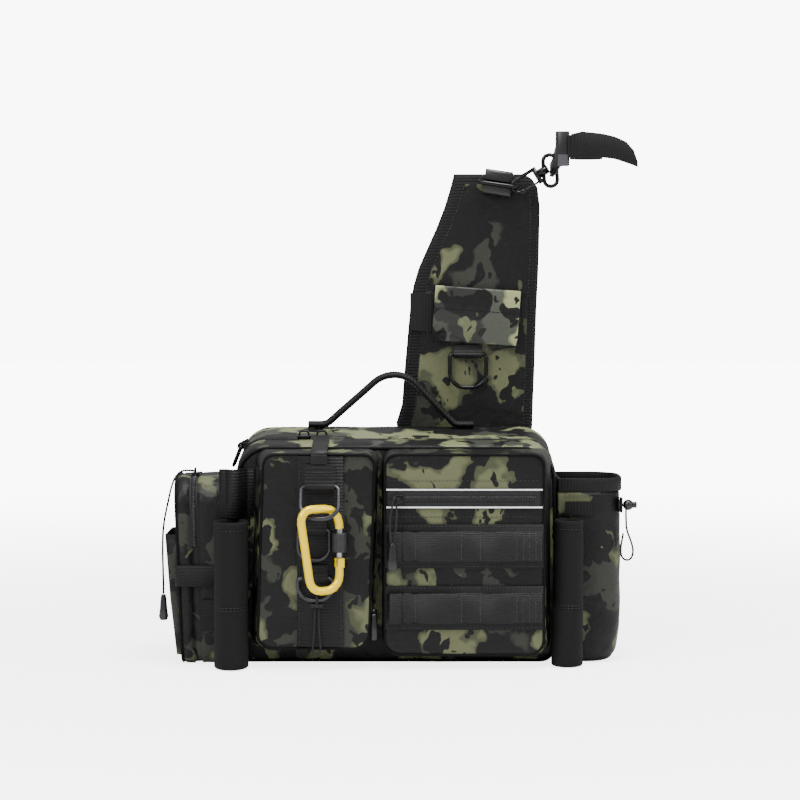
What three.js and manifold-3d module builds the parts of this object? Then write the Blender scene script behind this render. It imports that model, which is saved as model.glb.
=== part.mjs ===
// A fishing tackle sling bag: a hollow main compartment with two pockets on its front, a pouch, a bottle
// pocket and two rod sleeves at its sides, and a padded shoulder strap that stands up behind it.
// Millimetres, +Z up, -Y is the front. The origin is the middle of the main compartment's flat base.
import * as THREE from 'three';
import { mergeVertices } from 'three/addons/utils/BufferGeometryUtils.js';
import Module from 'manifold-3d';

const wasm = await Module();
wasm.setup();

// Stock and clearances
const cloth = 2;
const webbing = 1.8;
const seam = 0.3;
const edgeRoll = 5;
const edgeTuck = 3;
const tubeSides = 10;

// Main compartment
const bagWidth = 300;
const bagDepth = 105;
const bagHeight = 219;
const bagFrontDrop = 13;
const bagShoulder = 27;
const bagFoot = 12;
const bagSwell = 3;
const zipWidth = 8;
const zipSetback = 37;
const zipStart = 120;
const sliderLong = 13;
const sliderWide = 9;
const sliderThick = 3;
const bridgeRise = 4;
const sliderLeftX = -88;
const sliderGap = 4;
const pullWidth = 15;
const pullThick = 1.6;
const pullHang = 9;
const coilRise = 0.9;
const padThick = 8;
const padMarginSide = 16;
const padBottom = 22;

// Front pockets
const pocketDepth = 40;
const pocketTopDrop = 5;
const pocketCorner = 11;
const pocketFoot = 14;
const pocketFlare = 8;
const pocketInnerFlare = 2.5;
const pocketSpacing = 8;
const rightPocketWidth = 149;
const rightPocketHeight = 188;
const rightPocketMargin = 11.6;
const leftPocketWidth = 105;
const leftPocketHeight = 182;
const leftPocketLean = 6;

// Ring ladder on the left pocket
const ladderWidth = 43;
const ladderShift = 1;
const tabWidth = 28;
const smallTabWidth = 24;
const ringWidth = 39;
const ringLength = 37;
const ringWire = 4;
const ringTilt = 32;
const ringUpperHeight = 171;
const ringMiddleHeight = 131;
const ringLowerHeight = 86;
const thinRingWidth = 32;
const thinRingLength = 31;
const thinRingWire = 2.6;
const lowRingWidth = 36;
const ringSlip = 4.5;
const thinRingSlip = 6;
const lowRingLength = 24;
const lowRingWire = 3.4;
const knotCord = 2.2;
const collarWide = 11;
const knotShift = 3;
const ringCord = 1.8;

// Carabiner
const carabinerLength = 84;
const carabinerWidth = 43;
const carabinerRod = 7.8;
const carabinerTurn = 30;
const carabinerOut = 19.1;
const carabinerDrop = 57;
const gateRod = 5.6;
const gateTongue = 3.2;
const rivet = 2.6;
const sleeveOuter = 14;
const sleeveLength = 18;
const sleeveTravel = 3.5;
const rodStart = 4.2;

// Slash zip and webbing rows on the right pocket
const slashHeight = 159.5;
const slashZip = 8;
const slashMargin = 6;
const bandHeight = 41;
const bandUpper = 115.5;
const bandLower = 58;
const bandMargin = 1;
const loopHeight = 28;
const loopBulge = 4;
const slashCord = 1.8;
const slashEndLong = 25;

// Side pouch and its slip pocket
const pouchDepth = 107;
const pouchFront = 9.5;
const pouchWidth = 56;
const pouchHeight = 176;
const pouchTaper = 7;
const pouchZip = 18;
const pouchZipStart = 111;
const toolPocketWidth = 11;
const toolPocketHeight = 122;
const toolPocketDepth = 74;
const pouchBandHeight = 84;
const pouchBandWidth = 20;
const keeperWidth = 46;
const keeperHeight = 162;
const keeperBulge = 14;
const sideSlantAngle = 35;
const bandLift = 0.7;
const pouchSliderY = -30;
const pouchCord = 2;
const sideRingWidth = 26;
const sideRingLength = 24;
const sideRingWire = 3.2;
const sideStandoff = 0.8;
const sideRingTilt = 22;
const sideY = -2;

// Bottle pocket and its drawcord
const bottleReach = 62;
const bottleDepth = 88;
const bottleHeight = 162;
const bottleCorner = 28;
const rimHeight = 13;
const cordLock = 10.6;
const lockStandoff = 5.7;
const lockSetback = 14;
const lockLevel = 149;
const lockBore = 3.2;
const buttonRadius = 3;
const buttonTravel = 2.5;
const buttonLong = 5;
const socketFloor = 0.4;
const drawCord = 2;

// Rod sleeves
const sleeveHeight = 138;
const rightSleeveWidth = 27;
const rightSleeveDepth = 33;
const leftSleeveWidth = 32;
const leftSleeveDepth = 42;
const sleeveFlare = 3;

// Handle
const handleSpan = 138;
const handleRise = 60;
const handleLean = 5;
const handleShift = -5;
const handleThick = 6;
const handleWide = 13;
const handleInset = 14;

// Shoulder strap
const strapWidth = 129;
const strapLeft = 6;
const strapStart = 200;
const strapRise = 267;
const strapThick = 11;
const strapPocketWidth = 84;
const strapPocketHeight = 54;
const strapPocketThick = 9;
const strapPocketLevel = 328;
const strapPocketX = 79;
const strapPocketTilt = 4;
const flapThick = 1.6;
const slimInset = 3;
const strapRingWidth = 40;
const strapRingLength = 37;
const strapRingWire = 4;
const strapRingShift = -8;
const slingWidth = 38;
const slingX = 100;

// Hook and rod strap at the strap's top
const topTabX = 100;
const topTabDrop = 9;
const topTabWidth = 27;
const topTabTall = 25;
const topRingLong = 40;
const topRingShort = 16;
const topRingWire = 3.4;
const hookWire = 3.2;
const hookLoop = 25;
const hookGap = 10;
const hookReach = 36.5;
const hookSlant = 31;
const hookOut = 11;
const hookLevel = 464.5;
const hookGate = 2.2;
const barrelMiddle = 9.4;
const barrelLong = 11;
const eyeUpright = 27;
const eyeLong = 34;
const eyeShort = 16;
const rodBand = 23;
const rodLoop = 30;
const rodReach = 47.5;
const rodY = 14;
const rodLevel = 491;

const bagFront = -bagDepth / 2;
const bagBack = bagDepth / 2;
const bagLeft = -bagWidth / 2;
const bagRight = bagWidth / 2;
const frontTop = bagHeight - bagFrontDrop;
const pocketFace = bagFront - seam - pocketDepth;
const pocketTop = frontTop - pocketTopDrop;
const radians = Math.PI / 180;

const group = new THREE.Group();

// A mesh with its own finish joins the bag, or a group within it.
function add(name, geometry, color, roughness, metalness, parent = group) {
  const material = new THREE.MeshStandardMaterial({ color, roughness, metalness });
  const mesh = new THREE.Mesh(geometry, material);
  mesh.name = name;
  parent.add(mesh);
  return mesh;
}

// A closed mesh becomes a solid that can be joined and cut.
function solidOf(geometry) {
  const bare = new THREE.BufferGeometry();
  bare.setAttribute('position', geometry.getAttribute('position'));
  bare.setIndex(geometry.getIndex());
  const merged = mergeVertices(bare, 0.0005);
  const vertProperties = new Float32Array(merged.getAttribute('position').array);
  const triVerts = new Uint32Array(merged.getIndex().array);
  return new wasm.Manifold(new wasm.Mesh({ numProp: 3, vertProperties, triVerts }));
}

function geometryOf(solid) {
  const mesh = solid.getMesh();
  const geometry = new THREE.BufferGeometry();
  const corners = new Float32Array(mesh.numVert * 3);
  for (let i = 0; i < mesh.numVert; i += 1) {
    for (let k = 0; k < 3; k += 1) {
      corners[i * 3 + k] = mesh.vertProperties[i * mesh.numProp + k];
    }
  }
  geometry.setAttribute('position', new THREE.BufferAttribute(corners, 3));
  geometry.setIndex([...mesh.triVerts]);
  geometry.computeVertexNormals();
  return geometry;
}

// Six times the volume that the faces enclose, positive where they point out.
function signedVolume(points, faces) {
  let total = 0;
  for (let i = 0; i < faces.length; i += 3) {
    const [a, b, c] = [points[faces[i]], points[faces[i + 1]], points[faces[i + 2]]];
    total += a[0] * (b[1] * c[2] - b[2] * c[1]);
    total += a[1] * (b[2] * c[0] - b[0] * c[2]);
    total += a[2] * (b[0] * c[1] - b[1] * c[0]);
  }
  return total;
}

// Skins a row of rings that hold the same number of points. An open row gets a fan at each end.
function loft(rings, looped = false) {
  const count = rings[0].length;
  const points = rings.flat();
  const faces = [];
  const spans = looped ? rings.length : rings.length - 1;
  for (let i = 0; i < spans; i += 1) {
    const here = i * count;
    const next = ((i + 1) % rings.length) * count;
    for (let j = 0; j < count; j += 1) {
      const k = (j + 1) % count;
      faces.push(here + j, here + k, next + k, here + j, next + k, next + j);
    }
  }
  if (!looped) {
    for (const [ring, turned] of [[0, true], [rings.length - 1, false]]) {
      const middle = [0, 1, 2].map((axis) => rings[ring].reduce((sum, p) => sum + p[axis], 0) / count);
      const hub = points.push(middle) - 1;
      for (let j = 0; j < count; j += 1) {
        const a = ring * count + j;
        const b = ring * count + ((j + 1) % count);
        faces.push(...(turned ? [hub, b, a] : [hub, a, b]));
      }
    }
  }
  if (signedVolume(points, faces) < 0) {
    faces.reverse();
  }
  const geometry = new THREE.BufferGeometry();
  geometry.setAttribute('position', new THREE.Float32BufferAttribute(points.flat(), 3));
  geometry.setIndex(faces);
  geometry.computeVertexNormals();
  return geometry;
}

function box(x0, x1, y0, y1, z0, z1) {
  const geometry = new THREE.BoxGeometry(x1 - x0, y1 - y0, z1 - z0);
  return geometry.translate((x0 + x1) / 2, (y0 + y1) / 2, (z0 + z1) / 2);
}

// A path through corners [across, up, radius], each rounded by an arc of its radius.
function roundedPath(corners, closed, arcStep = 22) {
  const path = [];
  corners.forEach(([u, v, radius = 0], i) => {
    const end = !closed && (i === 0 || i === corners.length - 1);
    if (end || radius === 0) {
      path.push([u, v]);
      return;
    }
    const here = new THREE.Vector2(u, v);
    const before = corners[(i + corners.length - 1) % corners.length];
    const after = corners[(i + 1) % corners.length];
    const back = new THREE.Vector2(before[0], before[1]).sub(here).normalize();
    const on = new THREE.Vector2(after[0], after[1]).sub(here).normalize();
    const opening = Math.acos(THREE.MathUtils.clamp(back.dot(on), -1, 1));
    const centre = back.clone().add(on).normalize().multiplyScalar(radius / Math.sin(opening / 2)).add(here);
    const first = back.clone().multiplyScalar(radius / Math.tan(opening / 2)).add(here).sub(centre);
    const turn = (Math.PI - opening) * Math.sign(back.cross(on));
    const steps = Math.max(2, Math.round(Math.abs(turn) / (arcStep * radians)));
    for (let step = 0; step <= steps; step += 1) {
      const spoke = first.clone().rotateAround(new THREE.Vector2(), (-turn * step) / steps);
      path.push([centre.x + spoke.x, centre.y + spoke.y]);
    }
  });
  return path;
}

// A round rod bent along a path in the plane of X and Z, looped or with flat ends.
function bentRod(path, diameter, looped, sides = tubeSides) {
  const radius = diameter / 2;
  const rings = path.map(([u, v], i) => {
    const before = path[looped ? (i + path.length - 1) % path.length : Math.max(i - 1, 0)];
    const after = path[looped ? (i + 1) % path.length : Math.min(i + 1, path.length - 1)];
    const along = new THREE.Vector2(after[0] - before[0], after[1] - before[1]).normalize();
    return Array.from({ length: sides }, (_, k) => {
      const angle = (2 * Math.PI * (k + 0.5)) / sides;
      const out = radius * Math.cos(angle);
      return [u - along.y * out, radius * Math.sin(angle), v + along.x * out];
    });
  });
  return loft(rings, looped);
}

// A flat shape drawn in depth (Y) and height (Z), carried across by its width.
function extrudeAcross(shape, width) {
  const geometry = new THREE.ExtrudeGeometry(shape, { depth: width, bevelEnabled: false, curveSegments: 6 });
  const turn = new THREE.Matrix4().makeBasis(
    new THREE.Vector3(0, 1, 0),
    new THREE.Vector3(0, 0, 1),
    new THREE.Vector3(1, 0, 0),
  );
  return geometry.applyMatrix4(turn).translate(-width / 2, 0, 0);
}

// A flat shape drawn in X and Y, carried up by its height.
function extrudeUp(shape, height) {
  return new THREE.ExtrudeGeometry(shape, { depth: height, bevelEnabled: false, curveSegments: 6 });
}

function shapeOf(path) {
  return new THREE.Shape(path.map(([u, v]) => new THREE.Vector2(u, v)));
}

// Offsets a path to both sides by half its thickness: the outline of a strip seen from its edge.
function stripOutline(path, thick) {
  const sides = [1, -1].map((side) => path.map(([u, v], i) => {
    const before = path[Math.max(i - 1, 0)];
    const after = path[Math.min(i + 1, path.length - 1)];
    const along = new THREE.Vector2(after[0] - before[0], after[1] - before[1]).normalize();
    return [u - (along.y * thick * side) / 2, v + (along.x * thick * side) / 2];
  }));
  return [...sides[0], ...sides[1].reverse()];
}

// The outline of a soft box seen square on: rounded lower and upper corners, and sides that swell out.
function softOutline(frame, lowRadius, highRadius, swell = 0) {
  const { left, right, bottom, top } = frame;
  const middle = (left + right) / 2;
  const rise = (top - bottom) / 2;
  const path = roundedPath([
    [right, bottom, lowRadius],
    [right, bottom + rise, 0],
    [right, top, highRadius],
    [left, top, highRadius],
    [left, bottom + rise, 0],
    [left, bottom, lowRadius],
  ], true);
  return path.map(([u, v]) => {
    const side = THREE.MathUtils.clamp((u - middle) / (right - middle), -1, 1);
    return [u + side * swell * Math.sin((Math.PI * (v - bottom)) / (top - bottom)), v];
  });
}

function inset(frame, amount) {
  return {
    left: frame.left + amount,
    right: frame.right - amount,
    bottom: frame.bottom + amount,
    top: frame.top - amount,
  };
}

function mixFrames(a, b, share) {
  const mixed = {};
  for (const key of Object.keys(a)) {
    mixed[key] = THREE.MathUtils.lerp(a[key], b[key], share);
  }
  return mixed;
}

// Main compartment: a soft box whose top falls to the front, hollow, with a zip over its top and sides
function bagTopAt(y) {
  return bagHeight - (bagFrontDrop * (bagBack - y)) / bagDepth;
}

function bagForm(wall) {
  const rows = [
    { y: bagBack - wall, tuck: edgeTuck + wall },
    { y: bagBack - edgeRoll, tuck: wall },
    { y: bagFront + edgeRoll, tuck: wall },
    { y: bagFront + wall, tuck: edgeTuck + wall },
  ];
  return loft(rows.map(({ y, tuck }) => {
    const frame = inset({ left: bagLeft, right: bagRight, bottom: 0, top: bagTopAt(y) }, tuck);
    return softOutline(frame, bagFoot, bagShoulder, bagSwell).map(([u, v]) => [u, y, v]);
  }));
}

const zipY = bagFront + zipSetback;
const bagShell = solidOf(bagForm(0)).subtract(solidOf(bagForm(cloth)));

function overTop(halfWidth, start) {
  const reach = bagRight + bagSwell + cloth;
  return solidOf(box(-reach, reach, zipY - halfWidth, zipY + halfWidth, start, bagHeight + cloth));
}

const bagZip = bagShell.intersect(overTop(zipWidth / 2 - seam, zipStart + seam));
add('main_body', geometryOf(bagShell.subtract(overTop(zipWidth / 2, zipStart))), 0x3a3b38, 0.6, 0);
add('main_zipper', geometryOf(bagZip), 0x141415, 0.6, 0);

// A zip slider: a body that narrows to one end and a bridge over it, fused

function sliderForm() {
  const outline = roundedPath([
    [-sliderLong / 2, -sliderWide / 3, 2],
    [sliderLong / 2, -sliderWide / 2, 3],
    [sliderLong / 2, sliderWide / 2, 3],
    [-sliderLong / 2, sliderWide / 3, 2],
  ], true, 45);
  const body = solidOf(extrudeUp(shapeOf(outline), sliderThick));
  const bridgePath = roundedPath([
    [-sliderLong / 2 + 2, sliderThick / 2, 0],
    [-sliderLong / 2 + 2, sliderThick + bridgeRise, 2.5],
    [sliderLong / 2 - 2, sliderThick + bridgeRise, 2.5],
    [sliderLong / 2 - 2, sliderThick / 2, 0],
  ], false, 45);
  return body.add(solidOf(bentRod(bridgePath, 2, false, 6)));
}

const zipSlope = Math.atan2(bagFrontDrop, bagDepth);
const zipDeck = new THREE.Group();
zipDeck.position.set(0, zipY, bagTopAt(zipY));
zipDeck.rotation.x = zipSlope;
group.add(zipDeck);
const sliderRightX = sliderLeftX + sliderLong + sliderGap;
add(
  'main_slider_left', geometryOf(sliderForm()), 0x1b1b1c, 0.35, 0.7, zipDeck,
).position.set(sliderLeftX, 0, seam);
add(
  'main_slider_right', geometryOf(sliderForm()), 0x1b1b1c, 0.35, 0.7, zipDeck,
).position.set(sliderRightX, 0, seam);

// The webbing pull of the right slider lies over the top and hangs over the pocket's front edge
const pullY = zipY - sliderWide / 2;
const pullPath = roundedPath([
  [pullY - seam * 2, bagTopAt(pullY) + seam + sliderThick, 0],
  [pullY - 10, bagTopAt(pullY - 10) + seam + pullThick, 4],
  [bagFront, bagTopAt(bagFront) + seam + pullThick, 10],
  [pocketFace - 3 * webbing, pocketTop + pullThick * 2, 5],
  [pocketFace - 3 * webbing, pocketTop - pullHang, 0],
], false);
const pull = add(
  'main_pull_tab', extrudeAcross(shapeOf(stripOutline(pullPath, pullThick)), pullWidth), 0x161617, 0.5, 0,
);
pull.position.x = sliderRightX;

// Back pad: a plain padded panel behind the main compartment
const padTop = strapStart - 8;

const padFrame = {
  left: bagLeft + padMarginSide,
  right: bagRight - padMarginSide,
  bottom: padBottom,
  top: padTop,
};
const padRows = [
  { y: bagBack + seam, tuck: 0 },
  { y: bagBack + seam + padThick - edgeRoll / 2, tuck: 0 },
  { y: bagBack + seam + padThick, tuck: edgeRoll / 2 },
];
add('back_pad', loft(padRows.map(({ y, tuck }) => (
  softOutline(inset(padFrame, tuck), bagShoulder, bagShoulder).map(([u, v]) => [u, y, v])
))), 0x1c1c1e, 0.9, 0);

// Carry handle: a rolled webbing grip, flattened where it is sewn to the top
const handleY = bagBack - handleInset;
const handleBase = bagTopAt(handleY + handleWide / 2) + seam + handleThick / 2;
const handleHalf = handleSpan / 2;
const handleCorners = [
  [-handleHalf - 12, handleBase, 0],
  [-handleHalf + 6, handleBase, 12],
  [handleLean, handleBase + handleRise, 30],
  [handleHalf - 6, handleBase, 10],
  [handleHalf + 12, handleBase, 0],
];
const handlePath = roundedPath(handleCorners, false, 14);

function flatSection(path, wide, thick) {
  return loft(path.map(([u, v], i) => {
    const before = path[Math.max(i - 1, 0)];
    const after = path[Math.min(i + 1, path.length - 1)];
    const along = new THREE.Vector2(after[0] - before[0], after[1] - before[1]).normalize();
    return Array.from({ length: 8 }, (_, k) => {
      const angle = (2 * Math.PI * (k + 0.5)) / 8;
      const out = (thick / 2 / Math.cos(Math.PI / 8)) * Math.cos(angle);
      return [u - along.y * out, (wide / 2) * Math.sin(angle), v + along.x * out];
    });
  }));
}

const handle = add('carry_handle', flatSection(handlePath, handleWide, handleThick), 0x19191a, 0.75, 0);
handle.position.set(handleShift, handleY, 0);

// Front pockets: a flat panel on a gusset that widens to the back, open towards the main compartment
const rightFace = {
  left: bagRight - rightPocketMargin - rightPocketWidth,
  right: bagRight - rightPocketMargin,
  bottom: pocketTop - rightPocketHeight,
  top: pocketTop,
};
const leftFace = {
  left: rightFace.left - pocketSpacing - leftPocketWidth,
  right: rightFace.left - pocketSpacing,
  bottom: pocketTop - leftPocketHeight,
  top: pocketTop,
};

function pocketForm(face, outerSide, lean, wall) {
  const root = {
    left: face.left - (outerSide < 0 ? pocketFlare : pocketInnerFlare),
    right: face.right + (outerSide > 0 ? pocketFlare : pocketInnerFlare),
    bottom: face.bottom - pocketInnerFlare,
    top: face.top + pocketInnerFlare,
  };
  const back = bagFront - seam;
  const rows = [
    { y: wall > 0 ? back + cloth : back, share: 0, tuck: wall },
    { y: pocketFace + edgeRoll, share: 0.8, tuck: wall },
    { y: pocketFace + wall, share: 1, tuck: wall },
  ];
  return loft(rows.map(({ y, share, tuck }) => {
    const frame = inset(mixFrames(root, face, share), tuck);
    return softOutline(frame, pocketFoot, pocketCorner).map(([u, v]) => {
      const shift = (lean * (face.top - v)) / (face.top - face.bottom);
      return [u - shift, y, v];
    });
  }));
}

function pocketShell(face, outerSide, lean) {
  const outer = solidOf(pocketForm(face, outerSide, lean, 0));
  return outer.subtract(solidOf(pocketForm(face, outerSide, lean, cloth)));
}

add('left_pocket', geometryOf(pocketShell(leftFace, -1, leftPocketLean)), 0x3d3e3a, 0.6, 0);

// The right pocket's panel is cut for its slash zip, which lies in the cut
const slashLeft = rightFace.left + slashMargin;
const slashRight = rightFace.right - slashMargin;
const slashCut = box(
  slashLeft, slashRight,
  pocketFace - cloth, pocketFace + cloth * 2,
  slashHeight - slashZip / 2, slashHeight + slashZip / 2,
);
add('right_pocket', geometryOf(pocketShell(rightFace, 1, 0).subtract(solidOf(slashCut))), 0x3d3e3a, 0.6, 0);

const slashTape = slashZip - 2 * seam;
const slashProfile = [
  [pocketFace + cloth, -slashTape / 2],
  [pocketFace + cloth, slashTape / 2],
  [pocketFace, slashTape / 2],
  [pocketFace, slashTape / 4],
  [pocketFace - coilRise, slashTape / 4],
  [pocketFace - coilRise, -slashTape / 4],
  [pocketFace, -slashTape / 4],
  [pocketFace, -slashTape / 2],
];
const slash = add(
  'slash_zipper',
  extrudeAcross(shapeOf(slashProfile), slashRight - slashLeft - 2 * seam),
  0x141415, 0.5, 0,
);
slash.position.set((slashLeft + slashRight) / 2, 0, slashHeight);

const slashSliderX = slashLeft + sliderLong / 2 - 1;
const slashSlider = add('slash_slider', geometryOf(sliderForm()), 0x1b1b1c, 0.35, 0.7);
slashSlider.rotation.x = Math.PI / 2;
slashSlider.position.set(slashSliderX, pocketFace - coilRise - seam, slashHeight);

// A moulded pull end: a tapered grip with a rounded foot, hung by its narrow head
function pullEnd(length, wide, thick) {
  const rows = [
    { down: 0, size: 0.45 },
    { down: 0.12, size: 0.6 },
    { down: 0.6, size: 0.8 },
    { down: 0.85, size: 1 },
    { down: 1, size: 0.7 },
  ];
  return loft(rows.map(({ down, size }) => Array.from({ length: 8 }, (_, k) => {
    const angle = (2 * Math.PI * (k + 0.5)) / 8;
    return [(wide / 2) * size * Math.cos(angle), (thick / 2) * size * Math.sin(angle), -down * length];
  })));
}

// A cord: a round section carried along a smooth curve through chosen points
function cordForm(points, diameter, steps) {
  const curve = new THREE.CatmullRomCurve3(points.map((p) => new THREE.Vector3(...p)), false, 'centripetal');
  const ring = Array.from({ length: 8 }, (_, k) => {
    const angle = (2 * Math.PI * k) / 8;
    return new THREE.Vector2((diameter / 2) * Math.cos(angle), (diameter / 2) * Math.sin(angle));
  });
  return new THREE.ExtrudeGeometry(new THREE.Shape(ring), { steps, extrudePath: curve });
}

// The slash zip's pull: one cord doubled through the slider's bridge, its ends in a moulded grip
const slashCordRoute = [
  [-4.6, -104.6, 119.4],
  [-5, -104.5, 127],
  [-5.2, -104.3, 135],
  [-4.8, -104.1, 143],
  [-3.8, -103.9, 150],
  [-2.6, -103.6, 156],
  [-1.6, -103.2, 160],
  [-0.8, -101.2, 162],
  [-0.2, -99, 160.6],
  [0.2, -98.5, 157.4],
  [0.6, -99.4, 153.4],
  [1, -101.4, 149.2],
  [1, -103, 144],
  [0.4, -104, 136],
  [-0.4, -104.5, 127],
  [-1.4, -104.6, 119.4],
];
add('slash_pull_cord', cordForm(slashCordRoute, slashCord, 26), 0x151515, 0.8, 0);
const slashEnd = add('slash_pull_end', pullEnd(slashEndLong, 10, 5), 0x1a1a1b, 0.45, 0);
slashEnd.position.set(-3, -104.6, 119);


// Ring ladder: a wide webbing down the left pocket with three webbing tabs, each folded round a ring's bar
const ladderX = (leftFace.left + leftFace.right) / 2 + ladderShift;
const ladderFace = pocketFace - seam - webbing;
const ladderTop = leftFace.top - 2;
const ladderBottom = leftFace.bottom + 3;
const ladder = box(-ladderWidth / 2, ladderWidth / 2, ladderFace, pocketFace - seam, ladderBottom, ladderTop);
add('ladder_webbing', ladder.translate(ladderX, 0, 0), 0x18181a, 0.7, 0);

// A hole that leaves a round rod of the given radius clear.
function roundHole(u, v, radius) {
  const out = radius / Math.cos(Math.PI / 12);
  return new THREE.Path(Array.from({ length: 12 }, (_, k) => {
    const angle = (2 * Math.PI * k) / 12;
    return new THREE.Vector2(u + out * Math.cos(angle), v + out * Math.sin(angle));
  }));
}

// A webbing tab seen from its edge: flat on its seat, folded round a bar of the ring that it holds
function tabForm(width, rise, wire) {
  const bore = wire / 2 + seam;
  const reach = bore + webbing;
  const outline = [[0, rise], [0, 0]];
  for (let step = 1; step <= 8; step += 1) {
    const angle = (-Math.PI * step) / 8;
    outline.push([-reach + reach * Math.cos(angle), reach * Math.sin(angle)]);
  }
  outline.push([-2 * webbing, Math.min(reach * 2, rise - 1)], [-2 * webbing, rise]);
  const shape = shapeOf(outline);
  shape.holes.push(roundHole(-reach, 0, bore));
  return extrudeAcross(shape, width);
}

function tabReach(wire) {
  return wire / 2 + seam + webbing;
}

// A D ring hangs from its straight bar at the origin
function ringForm(width, length, wire) {
  const half = (width - wire) / 2;
  const drop = length - wire;
  const path = roundedPath([
    [half, -drop, Math.min(half * 0.85, drop * 0.8)],
    [half, 0, wire],
    [-half, 0, wire],
    [-half, -drop, Math.min(half * 0.85, drop * 0.8)],
  ], true, 24);
  return bentRod(path, wire, true, 8);
}

const ladderSeat = ladderFace - seam;
const ladderRings = [
  {
    place: 'upper', level: ringUpperHeight, rise: 20, tab: tabWidth,
    wide: ringWidth, length: ringLength, wire: ringWire, tilt: ringTilt, slip: 0,
  },
  {
    place: 'middle', level: ringMiddleHeight, rise: 16, tab: smallTabWidth,
    wide: thinRingWidth, length: thinRingLength, wire: thinRingWire, tilt: 0, slip: thinRingSlip,
  },
  {
    place: 'lower', level: ringLowerHeight, rise: 12, tab: smallTabWidth,
    wide: lowRingWidth, length: lowRingLength, wire: lowRingWire, tilt: 0, slip: ringSlip,
  },
];
for (const { place, level, rise, tab, wide, length, wire, tilt, slip } of ladderRings) {
  const seat = new THREE.Group();
  seat.position.set(ladderX - slip, ladderSeat, level);
  group.add(seat);
  add(`ring_tab_${place}`, tabForm(tab, rise, wire), 0x1a1a1b, 0.75, 0, seat);
  const ring = add(`ring_${place}`, ringForm(wide, length, wire), 0x6f7072, 0.35, 0.8, seat);
  ring.position.y = -tabReach(wire);
  ring.rotation.x = -tilt * radians;
}

// A doubled cord hitched round the lowest ring: a knot on the wire and a long loop that hangs from it
const knotLevel = ringLowerHeight - lowRingLength + lowRingWire;
const knotY = ladderSeat - tabReach(lowRingWire);
const knotBore = lowRingWire / 2 + seam + knotCord / 2;
const knotShape = Array.from({ length: 10 }, (_, k) => {
  const angle = (2 * Math.PI * k) / 10;
  return [knotBore * Math.cos(angle), knotBore * Math.sin(angle)];
});
const knotRound = solidOf(bentRod(knotShape, knotCord, true, 8).rotateZ(Math.PI / 2));
const knotCollar = solidOf(box(-collarWide / 2, collarWide / 2, -2, 2, -knotBore - 3.4, -knotBore - 0.2));
const knot = add('ring_cord_knot', geometryOf(knotRound.add(knotCollar)), 0x202022, 0.8, 0);
knot.position.set(ladderX - knotShift, knotY, knotLevel);

const ringCordRoute = [
  [-75, -98.4, 58.5],
  [-75.1, -98.3, 52],
  [-75.3, -98.1, 45],
  [-75.6, -97.9, 38],
  [-76.1, -97.6, 31],
  [-76.7, -97.4, 25],
  [-77, -97.2, 20],
  [-75.9, -97.1, 16.4],
  [-73.2, -97.1, 14.9],
  [-70.7, -97.1, 16.6],
  [-69.8, -97.2, 20.4],
  [-70.2, -97.4, 26],
  [-70.8, -97.6, 33],
  [-71.2, -97.9, 41],
  [-71.4, -98.2, 50],
  [-71.4, -98.4, 58.5],
];
add('ring_cord', cordForm(ringCordRoute, ringCord, 22), 0x1d1d1e, 0.8, 0);

// Carabiner: a bent rod with a slanted spine, hung through the upper ring, with a hinged gate and a
// sleeve that slides on the gate up to the nose
const carabinerHang = new THREE.Group();
carabinerHang.position.set(ladderX, ladderFace - carabinerOut, ringUpperHeight - carabinerDrop);
carabinerHang.rotation.z = carabinerTurn * radians;
group.add(carabinerHang);

const half = carabinerWidth / 2 / Math.cos(carabinerTurn * radians) - carabinerRod / 2;
const crown = carabinerLength / 2 - carabinerRod / 2;
const gateTop = crown - 19;
const gateFoot = -crown + 22;
const carabinerPath = roundedPath([
  [half, gateTop, 0],
  [half * 0.9, crown * 0.99, 15],
  [-half, crown, 11],
  [-half * 0.42, -crown, 12],
  [half, -crown, 14],
  [half, gateFoot, 0],
], false, 20);
const hingeRise = gateFoot + 4.5;
const lugWide = carabinerRod * 0.8;
const lug = solidOf(
  box(
    half - lugWide / 2,
    half + lugWide / 2,
    -carabinerRod / 2,
    carabinerRod / 2,
    gateFoot - 1,
    hingeRise + 3,
  ),
);
const lugSlot = box(
  half - lugWide,
  half + lugWide,
  -gateTongue / 2 - seam,
  gateTongue / 2 + seam,
  gateFoot + 0.5,
  hingeRise + 6,
);
const pinForm = new THREE.CylinderGeometry(rivet / 2, rivet / 2, carabinerRod, 10);
const pin = solidOf(pinForm.translate(half, 0, hingeRise));
const lugged = solidOf(bentRod(carabinerPath, carabinerRod, false)).add(lug);
const frame = lugged.subtract(solidOf(lugSlot)).add(pin);
add('carabiner', geometryOf(frame), 0xe9c136, 0.3, 0.7, carabinerHang);

const gatePivot = new THREE.Group();
gatePivot.position.set(half, 0, hingeRise);
carabinerHang.add(gatePivot);
const gateReach = gateTop - hingeRise - seam;
const gateBar = new THREE.CylinderGeometry(gateRod / 2, gateRod / 2, gateReach - rodStart, 12);
gateBar.rotateX(Math.PI / 2).translate(0, 0, (gateReach + rodStart) / 2);
const eyeRound = new THREE.CylinderGeometry(2.6, 2.6, gateTongue, 14);
const neck = box(-2.2, 2.2, -gateTongue / 2, gateTongue / 2, 0, rodStart + 1);
const rivetHole = new THREE.CylinderGeometry(rivet / 2 + seam, rivet / 2 + seam, carabinerRod, 12);
const gateSolid = solidOf(gateBar).add(solidOf(eyeRound)).add(solidOf(neck)).subtract(solidOf(rivetHole));
add('carabiner_gate', geometryOf(gateSolid), 0x9a9b9d, 0.3, 0.9, gatePivot);

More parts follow.
